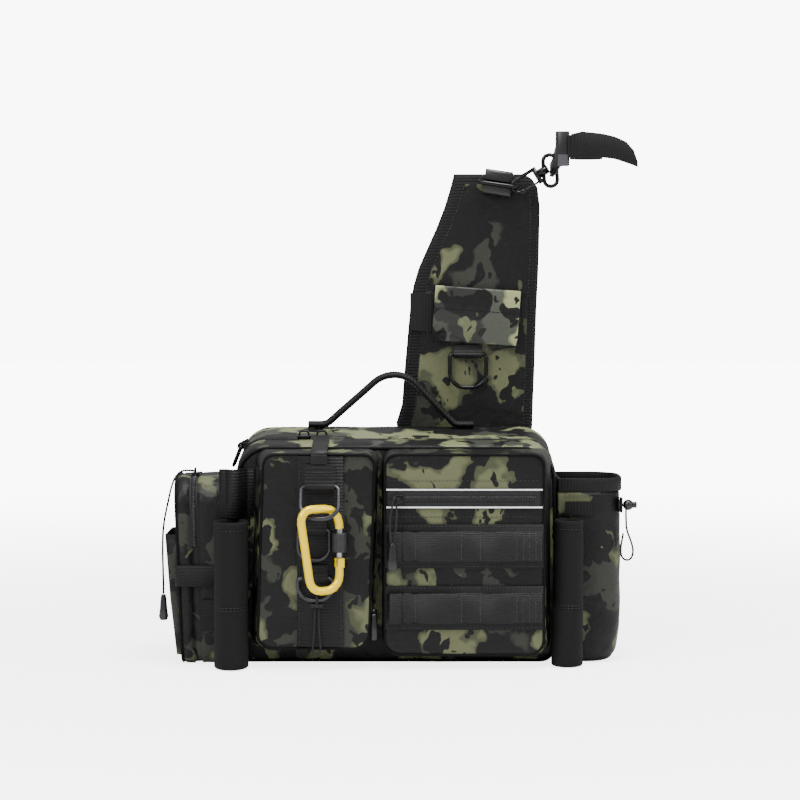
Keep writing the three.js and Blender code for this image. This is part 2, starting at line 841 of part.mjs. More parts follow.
const sleeveTop = gateReach - sleeveTravel - seam;
const sleevePath = [
  [gateRod / 2 + seam, sleeveTop - sleeveLength],
  [sleeveOuter / 2 - 1, sleeveTop - sleeveLength],
  [sleeveOuter / 2, sleeveTop - sleeveLength + 1.5],
  [sleeveOuter / 2, sleeveTop - 1.5],
  [sleeveOuter / 2 - 1, sleeveTop],
  [gateRod / 2 + seam, sleeveTop],
  [gateRod / 2 + seam, sleeveTop - sleeveLength],
];
const sleeveTurned = new THREE.LatheGeometry(sleevePath.map(([u, v]) => new THREE.Vector2(u, v)), 14);
add(
  'carabiner_sleeve', geometryOf(solidOf(sleeveTurned.rotateX(Math.PI / 2))), 0x3a3b3d, 0.5, 0.3, gatePivot,
);

// Webbing rows on the right pocket: a flat backing and a strip that stands off it between its stitches
const bandLeft = rightFace.left + bandMargin;
const bandRight = rightFace.right - bandMargin;
const stitchShares = [0.01, 0.12, 0.19, 0.48, 0.6, 0.83, 0.99];
const raisedSpans = [true, false, true, false, true, false];

function loopRow() {
  const seat = -seam - webbing / 2;
  const path = [];
  stitchShares.forEach((share, i) => {
    const u = THREE.MathUtils.lerp(bandLeft, bandRight, share);
    path.push([u, seat]);
    if (raisedSpans[i]) {
      const next = THREE.MathUtils.lerp(bandLeft, bandRight, stitchShares[i + 1]);
      for (const part of [0.2, 0.5, 0.8]) {
        const rise = part === 0.5 ? 1 : 0.8;
        path.push([THREE.MathUtils.lerp(u, next, part), seat - loopBulge * rise]);
      }
    }
  });
  return extrudeUp(shapeOf(stripOutline(path, webbing)), loopHeight);
}

for (const [place, level] of [['upper', bandUpper], ['lower', bandLower]]) {
  const backing = box(
    bandLeft, bandRight, pocketFace - seam - cloth, pocketFace - seam, -bandHeight / 2, bandHeight / 2,
  );
  add(`molle_band_${place}`, backing, 0x1b1b1d, 0.8, 0).position.z = level;
  const row = add(`molle_loops_${place}`, loopRow(), 0x161618, 0.7, 0);
  row.position.set(0, pocketFace - seam - cloth, level - loopHeight / 2);
}

// Side pouch: a soft box on the left side, its zip over the front, the top and the back of its gusset
const pouchRoot = bagLeft - bagSwell - seam;
const pouchBox = {
  left: bagFront - pouchFront,
  right: bagFront - pouchFront + pouchDepth,
  bottom: 0,
  top: pouchHeight,
};

function pouchForm(wall) {
  const rows = [
    { x: pouchRoot - wall, tuck: edgeTuck + wall, lean: 0 },
    { x: pouchRoot - edgeRoll, tuck: wall, lean: 0 },
    { x: pouchRoot - pouchWidth + edgeRoll, tuck: wall, lean: 1 },
    { x: pouchRoot - pouchWidth + wall, tuck: edgeTuck + wall, lean: 1 },
  ];
  return loft(rows.map(({ x, tuck, lean }) => (
    softOutline(inset(pouchBox, tuck), bagFoot, bagShoulder).map(([u, v]) => (
      [x + (lean * pouchTaper * (pouchHeight - v)) / pouchHeight, u, v]
    ))
  )));
}

const pouchShell = solidOf(pouchForm(0)).subtract(solidOf(pouchForm(cloth)));
const pouchZipX = pouchRoot - pouchWidth + pouchZip;

function overPouch(halfWidth, start) {
  const front = pouchBox.left - cloth;
  const back = pouchBox.right + cloth;
  return solidOf(box(pouchZipX - halfWidth, pouchZipX + halfWidth, front, back, start, pouchHeight + cloth));
}

const pouchTape = pouchShell.intersect(overPouch(zipWidth / 2 - seam, pouchZipStart + seam));
add('side_pouch', geometryOf(pouchShell.subtract(overPouch(zipWidth / 2, pouchZipStart))), 0x3c3d39, 0.6, 0);
add('pouch_zipper', geometryOf(pouchTape), 0x141415, 0.6, 0);

// Slip pocket on the pouch's outer face, open at the top
const outerFace = pouchRoot - pouchWidth;
const toolBox = {
  left: (pouchBox.left + pouchBox.right - toolPocketDepth) / 2 - 8,
  right: (pouchBox.left + pouchBox.right + toolPocketDepth) / 2 - 8,
};

function toolForm(wall) {
  const rows = [
    { z: 8 + wall, reach: 0.45 },
    { z: toolPocketHeight * 0.5, reach: 0.8 },
    { z: wall > 0 ? toolPocketHeight + cloth : toolPocketHeight, reach: 1 },
  ];
  return loft(rows.map(({ z, reach }) => {
    const seat = outerFace - seam + (pouchTaper * (pouchHeight - z)) / pouchHeight;
    const out = toolPocketWidth * reach;
    const path = roundedPath([
      [seat - wall, toolBox.left + wall, 0],
      [seat - wall, toolBox.right - wall, 0],
      [seat - out + wall, toolBox.right - wall, 3],
      [seat - out + wall, toolBox.left + wall, 3],
    ], true, 45);
    return path.map(([u, v]) => [u, v, z]);
  }));
}

const toolShell = solidOf(toolForm(0)).subtract(solidOf(toolForm(1.2)));
add('tool_pocket', geometryOf(toolShell), 0x343532, 0.6, 0);

// Webbing band round the pouch's front gusset, turned onto its outer face
const bandTurn = pouchTaper * (1 - pouchBandHeight / pouchHeight);
const bandX = outerFace + bandTurn;
const bandPath = roundedPath([
  [pouchRoot - 8, pouchBox.left - seam - webbing / 2, 0],
  [bandX - bandLift - webbing / 2, pouchBox.left - seam - webbing / 2, 3],
  [bandX - bandLift - webbing / 2, toolBox.left - seam, 0],
], false, 30);
const pouchBand = add(
  'pouch_band', extrudeUp(shapeOf(stripOutline(bandPath, webbing)), pouchBandWidth), 0x19191b, 0.7, 0,
);
pouchBand.position.z = pouchBandHeight - pouchBandWidth / 2;

// The pouch's slider sits on its zip at the top, and its cord runs out over the slip pocket's rim
const pouchSlider = add('pouch_slider', geometryOf(sliderForm()), 0x1b1b1c, 0.35, 0.7);
pouchSlider.rotation.z = Math.PI / 2;
pouchSlider.position.set(pouchZipX, pouchSliderY, pouchHeight + seam);
const pouchCordRoute = [
  [-190.4, -30, 180.9],
  [-195, -30, 181],
  [-200, -30, 181.2],
  [-205, -30, 180],
  [-209.4, -30, 176],
  [-212.6, -30, 170],
  [-215, -30, 162],
  [-217, -30, 153],
  [-219, -30, 144],
  [-220.8, -30, 135],
  [-222, -30, 126],
  [-222.6, -30, 117],
  [-222.8, -30, 108],
  [-222.8, -30, 99],
  [-222.6, -30, 90],
  [-222.4, -30, 81],
  [-222.2, -30, 72],
  [-222.2, -30, 63],
];
add('pouch_pull_cord', cordForm(pouchCordRoute, pouchCord, 26), 0x151515, 0.8, 0);
add('pouch_pull_end', pullEnd(slashEndLong, 10, 5), 0x1a1a1b, 0.45, 0).position.set(-222.2, -30, 62.6);

// Tool keeper: a webbing strip that bridges from the main compartment's front to the pouch
const keeperPath = roundedPath([
  [bagLeft + edgeTuck + 13, bagFront - seam - webbing / 2, 0],
  [bagLeft + edgeTuck + 6, bagFront - seam - webbing / 2, 3],
  [bagLeft - 2, bagFront - pouchFront - keeperBulge, 6],
  [pouchRoot - 6, pouchBox.left - seam - webbing / 2, 3],
  [pouchRoot - 13, pouchBox.left - seam - webbing / 2, 0],
], false, 30);
const keeper = add(
  'tool_keeper', extrudeUp(shapeOf(stripOutline(keeperPath, webbing)), keeperWidth), 0x19191b, 0.7, 0,
);
keeper.position.z = keeperHeight - keeperWidth / 2;

// A ring in a tab on the main compartment's left shoulder, above the pouch
const sideSlantTurn = sideSlantAngle * radians;
const sideSeat = new THREE.Group();
sideSeat.position.set(
  bagLeft + bagShoulder - (bagShoulder + sideStandoff) * Math.cos(sideSlantTurn),
  sideY,
  bagTopAt(sideY) - bagShoulder + (bagShoulder + sideStandoff) * Math.sin(sideSlantTurn),
);
group.add(sideSeat);
const sideTab = add('side_ring_tab', tabForm(18, 8, sideRingWire), 0x19191b, 0.75, 0, sideSeat);
sideTab.rotation.order = 'YXZ';
sideTab.rotation.set(0, sideSlantTurn, -Math.PI / 2);
const sideRing = add(
  'side_ring', ringForm(sideRingWidth, sideRingLength, sideRingWire), 0x2a2b2d, 0.35, 0.7, sideSeat,
);
sideRing.rotation.order = 'YXZ';
sideRing.rotation.set(0, sideRingTilt * radians, -Math.PI / 2);
sideRing.position.x = -tabReach(sideRingWire) * Math.cos(sideSlantTurn);
sideRing.position.z = tabReach(sideRingWire) * Math.sin(sideSlantTurn);

// Rod sleeves: oval tubes with a floor, open at the top
function sleeveForm(width, depth, height, flare, wall) {
  const rows = [
    { z: wall > 0 ? cloth : 0, grow: flare },
    { z: height * 0.4, grow: flare * 0.6 },
    { z: height * 0.42, grow: 0 },
    { z: wall > 0 ? height + cloth : height, grow: 0 },
  ];
  return loft(rows.map(({ z, grow }) => Array.from({ length: 18 }, (_, k) => {
    const angle = (2 * Math.PI * k) / 18;
    const x = (width / 2 + grow / 2 - wall) * Math.cos(angle);
    const y = (depth / 2 - wall) * Math.sin(angle);
    return [x - grow / 2, y, z];
  })));
}

function sleeveShell(width, depth, flare) {
  const outer = solidOf(sleeveForm(width, depth, sleeveHeight, flare, 0));
  return geometryOf(outer.subtract(solidOf(sleeveForm(width, depth, sleeveHeight, flare, cloth))));
}

const bottleRoot = bagRight + bagSwell + seam;
const rightSleeve = add(
  'rod_sleeve_right', sleeveShell(rightSleeveWidth, rightSleeveDepth, sleeveFlare), 0x1d1d1f, 0.85, 0,
);
rightSleeve.position.set(bagRight + rightSleeveWidth / 2 - 1, bagFront - seam - rightSleeveDepth / 2, 0);
const leftSleeve = add(
  'rod_sleeve_left', sleeveShell(leftSleeveWidth, leftSleeveDepth, 0), 0x1d1d1f, 0.85, 0,
);
leftSleeve.position.set(
  leftFace.left - pocketFlare - leftPocketLean - leftSleeveWidth / 2 - seam,
  bagFront - pouchFront - seam - leftSleeveDepth / 2,
  0,
);

// Bottle pocket: an open pouch with a rounded outer side, and a rim of binding that stands on its edge
const bottleRows = [
  { rise: 0, out: 0.82, tuck: 6 },
  { rise: 0.06, out: 0.92, tuck: 1 },
  { rise: 0.2, out: 0.985, tuck: 0 },
  { rise: 0.6, out: 1, tuck: 0 },
  { rise: 1, out: 0.97, tuck: 0 },
];
const bottleFront = bagFront;

function bottleOutline(out, tuck, wall) {
  const reach = bottleReach * out;
  const near = bottleFront + tuck + wall;
  const far = bottleFront + bottleDepth - tuck - wall;
  const corner = bottleCorner * out - wall;
  return roundedPath([
    [bottleRoot + wall, near, 0],
    [bottleRoot + reach - wall, near, corner],
    [bottleRoot + reach - wall, far, corner],
    [bottleRoot + wall, far, 0],
  ], true, 18);
}

function bottleForm(wall) {
  return loft(bottleRows.map(({ rise, out, tuck }) => {
    const low = wall > 0 && rise === 0 ? cloth : 0;
    const high = wall > 0 && rise === 1 ? cloth : 0;
    return bottleOutline(out, tuck, wall).map(([u, v]) => [u, v, bottleHeight * rise + low + high]);
  }));
}

add(
  'bottle_pocket', geometryOf(solidOf(bottleForm(0)).subtract(solidOf(bottleForm(cloth)))), 0x3c3d39, 0.6, 0,
);
const rimRows = [0, 1].map((wall) => loft([0, 1].map((rise) => (
  bottleOutline(1, 0, wall * 2.6 - 0.6).map(([u, v]) => (
    [
      Math.max(u, bottleRoot + wall * 2),
      v,
      bottleHeight + seam + rimHeight * rise + wall * (rise * 2 - 1) * 2,
    ]
  ))
))));
add('bottle_rim', geometryOf(solidOf(rimRows[0]).subtract(solidOf(rimRows[1]))), 0x1b1b1c, 0.8, 0);

// Drawcord at the bottle pocket's front corner: a tab, a cord lock with its button, and a knotted loop
const lockX = bottleRoot + bottleReach + lockStandoff;
const lockY = bottleFront + lockSetback;
const tabReachOut = lockX - cordLock / 2 - seam - (bottleRoot + bottleReach) + 2;
const drawTab = box(-tabReachOut, 0, -6, 6, -7, 7);
add('drawcord_tab', drawTab.translate(lockX - cordLock / 2 - seam, lockY, lockLevel), 0x19191b, 0.8, 0);

const lockBody = solidOf(new THREE.SphereGeometry(cordLock / 2, 14, 10));
const socket = new THREE.CylinderGeometry(buttonRadius + seam, buttonRadius + seam, cordLock, 14);
socket.rotateZ(Math.PI / 2).translate(cordLock / 2 + socketFloor, 0, 0);
const passage = new THREE.CylinderGeometry(lockBore / 2, lockBore / 2, cordLock * 1.2, 10);
passage.rotateX(Math.PI / 2);
const lockSolid = lockBody.subtract(solidOf(socket)).subtract(solidOf(passage.translate(-2, 0, 0)));
add('cord_lock', geometryOf(lockSolid), 0x151516, 0.4, 0).position.set(lockX, lockY, lockLevel);
const buttonForm = new THREE.CylinderGeometry(buttonRadius, buttonRadius, buttonLong, 14);
buttonForm.rotateZ(Math.PI / 2);
const button = add('cord_lock_button', buttonForm, 0x1c1c1d, 0.4, 0);
button.position.set(lockX + socketFloor + seam + buttonTravel + buttonLong / 2, lockY, lockLevel);
const drawRoute = [
  [219, 0, 147.6],
  [219, 0, 143],
  [219, 0, 138],
  [219.2, 0, 133],
  [219.4, 0, 128],
  [220.6, 0, 123],
  [222.8, 0, 117],
  [224.8, 0, 111],
  [225.8, 0, 105],
  [224.8, 0, 99.6],
  [221.8, 0, 96.6],
  [218, 0, 96.8],
  [215.2, 0, 99.8],
  [214.2, 0, 105],
  [214.6, 0, 111],
  [215.6, 0, 117],
  [216.4, 0, 122],
].map(([u, v, w]) => [u, lockY + v, w]);
add('drawcord', cordForm(drawRoute, drawCord, 22), 0x131314, 0.8, 0);

// Shoulder strap: a padded panel behind the main compartment, wide at its foot and narrow at its top
const strapRows = [
  { up: 0, left: 0, right: 0.99, full: 1 },
  { up: 0.08, left: -0.045, right: 1, full: 1 },
  { up: 0.15, left: 0, right: 1.004, full: 1 },
  { up: 0.27, left: 0.018, right: 1.014, full: 1 },
  { up: 0.42, left: 0.046, right: 1.023, full: 1 },
  { up: 0.53, left: 0.066, right: 1.031, full: 1 },
  { up: 0.59, left: 0.088, right: 1.038, full: 1 },
  { up: 0.65, left: 0.124, right: 1.043, full: 1 },
  { up: 0.72, left: 0.187, right: 1.047, full: 1 },
  { up: 0.8, left: 0.262, right: 1.05, full: 1 },
  { up: 0.88, left: 0.326, right: 1.052, full: 1 },
  { up: 0.95, left: 0.37, right: 1.035, full: 0.9 },
  { up: 0.985, left: 0.388, right: 0.99, full: 0.75 },
  { up: 1, left: 0.396, right: 0.93, full: 0.5 },
];
const strapFront = bagBack + seam;
const strapBack = strapFront + strapThick;
const strapSolid = loft(strapRows.map(({ up, left, right, full }) => {
  const middle = (strapFront + strapBack) / 2;
  const halfThick = (strapThick / 2) * full;
  return roundedPath([
    [strapLeft + strapWidth * left, middle - halfThick, halfThick * 0.7],
    [strapLeft + strapWidth * right, middle - halfThick, halfThick * 0.7],
    [strapLeft + strapWidth * right, middle + halfThick, halfThick * 0.7],
    [strapLeft + strapWidth * left, middle + halfThick, halfThick * 0.7],
  ], true, 45).map(([u, v]) => [u, v, strapStart + strapRise * up]);
}));
add('shoulder_strap', strapSolid, 0x343533, 0.65, 0);

// Flap pocket on the strap: a slim pocket open at its top, and a flap folded over it
const strapPocketSeat = new THREE.Group();
strapPocketSeat.position.set(strapPocketX, strapFront - seam, strapPocketLevel);
strapPocketSeat.rotation.y = strapPocketTilt * radians;
group.add(strapPocketSeat);
const slimHalf = strapPocketWidth / 2 - slimInset;
const slimFoot = -strapPocketHeight / 2 + slimInset;
const slimTop = strapPocketHeight / 2 - flapThick - seam * 2;
const slimFront = -strapPocketThick + flapThick + seam;
const slimOuter = box(-slimHalf, slimHalf, slimFront, 0, slimFoot, slimTop);
const slimInner = box(-slimHalf + 1, slimHalf - 1, slimFront + 1, -1, slimFoot + 1, slimTop + cloth);
add(
  'strap_pocket',
  geometryOf(solidOf(slimOuter).subtract(solidOf(slimInner))),
  0x3a3b38,
  0.5,
  0,
  strapPocketSeat,
);
const flapTop = strapPocketHeight / 2 - flapThick / 2;
const flapPath = roundedPath([
  [0, flapTop, 0],
  [-strapPocketThick + flapThick / 2, flapTop, 1.4],
  [-strapPocketThick + flapThick / 2, -strapPocketHeight / 2, 0],
], false, 30);
add(
  'strap_flap',
  extrudeAcross(shapeOf(stripOutline(flapPath, flapThick)), strapPocketWidth),
  0x575a4c,
  0.45,
  0,
  strapPocketSeat,
);

const strapRingX = strapPocketX + strapRingShift;
const strapRingLevel = strapPocketLevel - strapPocketHeight / 2 - 11;
const strapRingSeat = new THREE.Group();
strapRingSeat.position.set(strapRingX, strapFront - seam, strapRingLevel);
group.add(strapRingSeat);
add('strap_ring_tab', tabForm(tabWidth, 9, strapRingWire), 0x242527, 0.6, 0, strapRingSeat);
const strapRing = add(
  'strap_ring', ringForm(strapRingWidth, strapRingLength, strapRingWire), 0x1c1d1f, 0.3, 0.7, strapRingSeat,
);
strapRing.position.y = -tabReach(strapRingWire);

// Folded webbing at the strap's top, bored for a flat ring that stands out of it
const topSeat = new THREE.Group();
topSeat.position.set(topTabX, strapFront - seam, strapStart + strapRise - topTabDrop);
topSeat.rotation.y = 8 * radians;
group.add(topSeat);
const foldThick = topRingWire + 2 * seam + 2 * webbing;
const foldShape = shapeOf(roundedPath([
  [0, -topTabTall / 2, 2],
  [0, topTabTall / 2, 2],
  [-foldThick, topTabTall / 2, 3.4],
  [-foldThick, -topTabTall / 2, 3.4],
], true, 30));
foldShape.holes.push(roundHole(-foldThick / 2, 0, topRingWire / 2 + seam));
const foldCut = box(
  -topTabWidth, topTabWidth, -foldThick - 1, -foldThick / 2, -topRingWire / 2 - seam, topRingWire / 2 + seam,
);
const fold = solidOf(extrudeAcross(foldShape, topTabWidth)).subtract(solidOf(foldCut));
add('strap_top_tab', geometryOf(fold), 0x121213, 0.35, 0, topSeat);
const topLong = (topRingLong - topRingWire) / 2;
const topShort = topRingShort - topRingWire;
const topRingPath = roundedPath([
  [topLong, -topShort, 5],
  [topLong, 0, 4],
  [-topLong, 0, 4],
  [-topLong, -topShort, 5],
], true, 30);
const topRing = add('top_ring', bentRod(topRingPath, topRingWire, true, 8), 0x1a1b1c, 0.3, 0.7, topSeat);
topRing.rotation.x = -80 * radians;
topRing.position.y = -foldThick / 2;

// Snap hook: a long loop with a sprung gate, a block that it is hinged to, and a swivelling oval eye
const hookSeat = new THREE.Group();
const hookX = topTabX + hookReach;
hookSeat.position.set(hookX, strapFront - hookOut, hookLevel);
hookSeat.rotation.y = -hookSlant * radians;
group.add(hookSeat);
const hookHalf = (hookGap + hookWire) / 2;
const noseBack = hookLoop * 0.62;
const hookPath = roundedPath([
  [2, hookHalf, 0],
  [-hookLoop, hookHalf, 6],
  [-hookLoop, -hookHalf, 6],
  [-noseBack, -hookHalf, 0],
], false, 24);
const hookBlock = solidOf(box(0, 3.6, -2.6, 2.6, -hookHalf - 2, hookHalf + 1.6));
const gateNotch = box(-1, 2, -hookGate / 2 - seam, hookGate / 2 + seam, -hookHalf - 3, -hookHalf + 1.8);
const barrelForm = new THREE.CylinderGeometry(4, 4, barrelLong, 14).rotateZ(Math.PI / 2);
barrelForm.translate(barrelMiddle - 1, 0, 0);
const hookSolid = solidOf(bentRod(hookPath, hookWire, false, 8)).add(hookBlock).subtract(solidOf(gateNotch));

// The eye is an oval ring through a bore across the hook's barrel
const eyeHalfLong = (eyeLong - hookWire) / 2;
const eyeHalfShort = (eyeShort - hookWire) / 2;
const eyePath = roundedPath([
  [eyeHalfShort * 2, -eyeHalfLong, eyeHalfShort - 0.5],
  [eyeHalfShort * 2, eyeHalfLong, eyeHalfShort - 0.5],
  [0, eyeHalfLong, eyeHalfShort - 0.5],
  [0, -eyeHalfLong, eyeHalfShort - 0.5],
], true, 30);

function eyeForm(wire) {
  return bentRod(eyePath, wire, true, 8).rotateY(eyeUpright * radians).translate(barrelMiddle, 0, 0);
}

const barrel = solidOf(barrelForm).subtract(solidOf(eyeForm(hookWire + 2.4 * seam)));
add('snap_hook', geometryOf(hookSolid.add(barrel)), 0x1a1b1c, 0.35, 0.7, hookSeat);
add('hook_eye', eyeForm(hookWire), 0x1a1b1c, 0.35, 0.7, hookSeat);
const hookGateLong = noseBack + 0.9;
const hookHinge = new THREE.Group();
hookHinge.position.set(0.6, 0, -hookHalf);
hookSeat.add(hookHinge);
const hookGateForm = new THREE.CylinderGeometry(hookGate / 2, hookGate / 2, hookGateLong, 8);
hookGateForm.rotateZ(Math.PI / 2);
add('hook_gate', hookGateForm.translate(-hookGateLong / 2 + 0.6, 0, 0), 0x2a2b2d, 0.35, 0.7, hookHinge);

// Rod strap: a webbing wedge through the eye, a folded keeper, and a band that loops where the rod
// passes and runs out to a tapered tongue
const rodX = hookX + rodReach;
const wedgeRows = [
  { x: 151.6, y: 46, low: 464, high: 477 },
  { x: 152, y: 41, low: 464, high: 478 },
  { x: 153, y: 36, low: 463, high: 481 },
  { x: 156, y: 26, low: 467, high: 494 },
  { x: 160, y: 19, low: 474, high: 500 },
];
const wedge = loft(wedgeRows.map(({ x, y, low, high }) => [
  [x - webbing / 2, y, low],
  [x + webbing / 2, y, low],
  [x + webbing / 2, y, high],
  [x - webbing / 2, y, high],
]));
const slideShape = shapeOf(roundedPath([
  [-6.5, -8, 3],
  [6.5, -8, 3],
  [6.5, 8, 3],
  [-6.5, 8, 3],
], true, 45));
const keeperFold = extrudeUp(slideShape, 33).translate(161, 14.2, 473);
add('rod_strap_tab', geometryOf(solidOf(wedge).add(solidOf(keeperFold))), 0x161617, 0.6, 0);

const bandRows = [];
const loopRadius = rodLoop / 2;
for (let step = 0; step <= 18; step += 1) {
  const angle = (200 - step * 20) * radians;
  const out = loopRadius - (step / 18) * 0.2;
  bandRows.push({
    x: rodX + out * Math.cos(angle),
    y: rodY + out * Math.sin(angle),
    low: rodLevel - rodBand / 2,
    high: rodLevel + rodBand / 2,
  });
}
const tongueRows = [
  { x: 198, y: -4.4, low: 480, high: 503 },
  { x: 210, y: -5.4, low: 478.4, high: 500 },
  { x: 221, y: -5, low: 475, high: 495 },
  { x: 228, y: -4, low: 472.6, high: 487 },
  { x: 232, y: -3, low: 471, high: 476 },
];

// A strip on edge, from rows of its place and its two edges
function edgeStrip(rows, thick) {
  return loft(rows.map(({ x, y, low, high }, i) => {
    const before = rows[Math.max(i - 1, 0)];
    const after = rows[Math.min(i + 1, rows.length - 1)];
    const along = new THREE.Vector2(after.x - before.x, after.y - before.y).normalize();
    const outX = (-along.y * thick) / 2;
    const outY = (along.x * thick) / 2;
    return [
      [x - outX, y - outY, low],
      [x + outX, y + outY, low],
      [x + outX, y + outY, high],
      [x - outX, y - outY, high],
    ];
  }));
}

const frontRun = [
  { x: rodX - 14.2, y: rodY - 3, low: 480, high: 502.4 },
  { x: rodX - 14.6, y: rodY - 11, low: 480, high: 503 },
  { x: rodX - 5, y: rodY - 17.4, low: 480, high: 505 },
];
const backRun = solidOf(edgeStrip(bandRows.slice(0, 15), webbing));
const band = backRun.add(solidOf(edgeStrip([...frontRun, ...tongueRows], webbing)));
add('rod_strap', geometryOf(band), 0x151516, 0.7, 0);

// Sling webbing: down the back of the strap and the pad to the foot of the main compartment
const slingPath = roundedPath([
  [strapBack + seam + webbing / 2, strapStart + strapRise * 0.9, 0],
  [strapBack + seam + webbing / 2, strapStart - 1, 2],
  [bagBack + 2 * seam + padThick + webbing / 2, padTop - 1, 2],
  [bagBack + 2 * seam + padThick + webbing / 2, padBottom, 1],
  [bagBack + seam + webbing / 2, padBottom - 6, 3],
  [bagBack + seam + webbing / 2, edgeTuck + 4, 0],
], false, 30);
const sling = add(
  'sling_webbing', extrudeAcross(shapeOf(stripOutline(slingPath, webbing)), slingWidth), 0x19191b, 0.75, 0,
);
sling.position.x = slingX;

export default group;
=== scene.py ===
import math

import bpy
import numpy as np
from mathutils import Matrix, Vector


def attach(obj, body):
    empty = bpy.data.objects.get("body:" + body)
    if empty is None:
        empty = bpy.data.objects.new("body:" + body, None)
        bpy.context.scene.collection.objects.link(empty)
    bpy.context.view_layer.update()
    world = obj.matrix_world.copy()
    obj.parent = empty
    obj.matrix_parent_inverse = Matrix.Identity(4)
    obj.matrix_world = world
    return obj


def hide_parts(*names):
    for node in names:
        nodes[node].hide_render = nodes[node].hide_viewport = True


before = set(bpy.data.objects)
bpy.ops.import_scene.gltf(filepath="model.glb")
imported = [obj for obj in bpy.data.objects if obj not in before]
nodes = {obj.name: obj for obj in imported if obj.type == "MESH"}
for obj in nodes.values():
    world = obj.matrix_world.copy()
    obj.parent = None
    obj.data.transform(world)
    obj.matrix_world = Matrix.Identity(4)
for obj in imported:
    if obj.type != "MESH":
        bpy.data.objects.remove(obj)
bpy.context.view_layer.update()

# Camera and studio: the photo's view from the front, a little above level, on a pale floor.
# A white surround and three soft lamps make the even light of a product shot.
scene = bpy.context.scene
lens = bpy.data.cameras.new("camera")
lens.lens = 107.2
lens.dof.use_dof = False
camera = bpy.data.objects.new("camera", lens)
scene.collection.objects.link(camera)
aim = Vector((0.004, 0, 0.247))
rise = math.radians(2.7)
stand_off = 2.3
camera.location = aim + Vector((0, -math.cos(rise), math.sin(rise))) * stand_off
camera.rotation_euler = (aim - camera.location).to_track_quat("-Z", "Y").to_euler()
scene.camera = camera


def linear(code):
    """An sRGB colour #rrggbb as linear light: the usual power curve with its straight foot."""
    parts = [int(code[i:i + 2], 16) / 255 for i in (1, 3, 5)]
    return [c / 12.92 if c < 0.04045 else ((c + 0.055) / 1.055) ** 2.4 for c in parts] + [1]


def node(tree, kind, inputs=None, **settings):
    """A new shader node's outputs. Each input is set to a value, or linked where a socket is given."""
    made = tree.nodes.new("ShaderNode" + kind)
    for key, value in settings.items():
        setattr(made, key, value)
    for key, value in (inputs or {}).items():
        if isinstance(value, bpy.types.NodeSocket):
            tree.links.new(value, made.inputs[key])
        else:
            made.inputs[key].default_value = value
    return made.outputs


def noise(tree, place, scale, detail=2.0, rough=0.5):
    """A noise field's outputs, with its cells per metre."""
    return node(tree, "TexNoise", {"Vector": place, "Scale": scale, "Detail": detail, "Roughness": rough})


def bump(tree, height, strength, distance, under=None):
    """The tilt that a field of heights gives to a surface, added to another tilt where one is given."""
    inputs = {"Height": height, "Strength": strength, "Distance": distance}
    if under is not None:
        inputs["Normal"] = under
    return node(tree, "Bump", inputs)[0]


def blank(name, colour, rough, metal=0.0):
    """A new material of one colour, with its node tree and its shader."""
    material = bpy.data.materials.new(name)
    material.use_nodes = True
    shader = material.node_tree.nodes["Principled BSDF"]
    shader.inputs["Base Color"].default_value = linear(colour)
    shader.inputs["Roughness"].default_value = rough
    shader.inputs["Metallic"].default_value = metal
    return material, material.node_tree, shader


def mesh_of(name, points, faces, *materials):
    """A mesh at the origin from points in millimetres."""
    mesh = bpy.data.meshes.new(name)
    mesh.from_pydata((np.asarray(points, float) / 1000).tolist(), [], [list(map(int, f)) for f in faces])
    mesh.update()
    mesh.polygons.foreach_set("use_smooth", [True] * len(mesh.polygons))
    obj = bpy.data.objects.new(name, mesh)
    scene.collection.objects.link(obj)
    for material in materials:
        mesh.materials.append(material)
    return obj


# The floor glows more with distance, by a smooth step, so that no horizon shows.
floor_finish, tree, shader = blank("pale_floor", "#f2f2f2", 0.9)
seen = node(tree, "LightPath")["Is Camera Ray"]
shader.inputs["Emission Color"].default_value = (1, 1, 1, 1)
place = node(tree, "TexCoord")["Object"]
far = node(tree, "VectorMath", {0: place}, operation="LENGTH")["Value"]
spread = {"Value": far, "From Min": 0.25, "From Max": 2.2, "To Min": 3.4, "To Max": 9.0}
glow = node(tree, "MapRange", spread, interpolation_type="SMOOTHSTEP")[0]
shown = node(tree, "Math", {0: seen, 1: glow}, operation="MULTIPLY")[0]
tree.links.new(shown, shader.inputs["Emission Strength"])
floor_corners = [[-6000, -4000, 0], [6000, -4000, 0], [6000, 9000, 0], [-6000, 9000, 0]]
floor = mesh_of("floor", floor_corners, [[0, 1, 2, 3]], floor_finish)
floor_drop = 0.0003
floor.location.z = -floor_drop
world = bpy.data.worlds.new("white_surround")
world.use_nodes = True
background = world.node_tree.nodes["Background"]
background.inputs["Color"].default_value = (1, 1, 1, 1)
seen = node(world.node_tree, "LightPath")["Is Camera Ray"]
glow = node(world.node_tree, "MapRange", {"Value": seen, "To Min": 0.6, "To Max": 9.0})[0]
world.node_tree.links.new(glow, background.inputs["Strength"])
scene.world = world
lamp_aim = Vector((0, 0, 0.25))
for name, spot, size, power in (
    ("key", (-1.1, -1.4, 1.6), 1.0, 36), ("top", (0.25, -0.35, 1.8), 0.8, 44), ("side", (1.5, -0.7, 0.9), 0.7, 9),
):
    light = bpy.data.lights.new(name, "AREA")
    light.size = size
    light.energy = power
    lamp = bpy.data.objects.new(name, light)
    lamp.location = spot
    lamp.rotation_euler = (lamp_aim - lamp.location).to_track_quat("-Z", "Y").to_euler()
    scene.collection.objects.link(lamp)

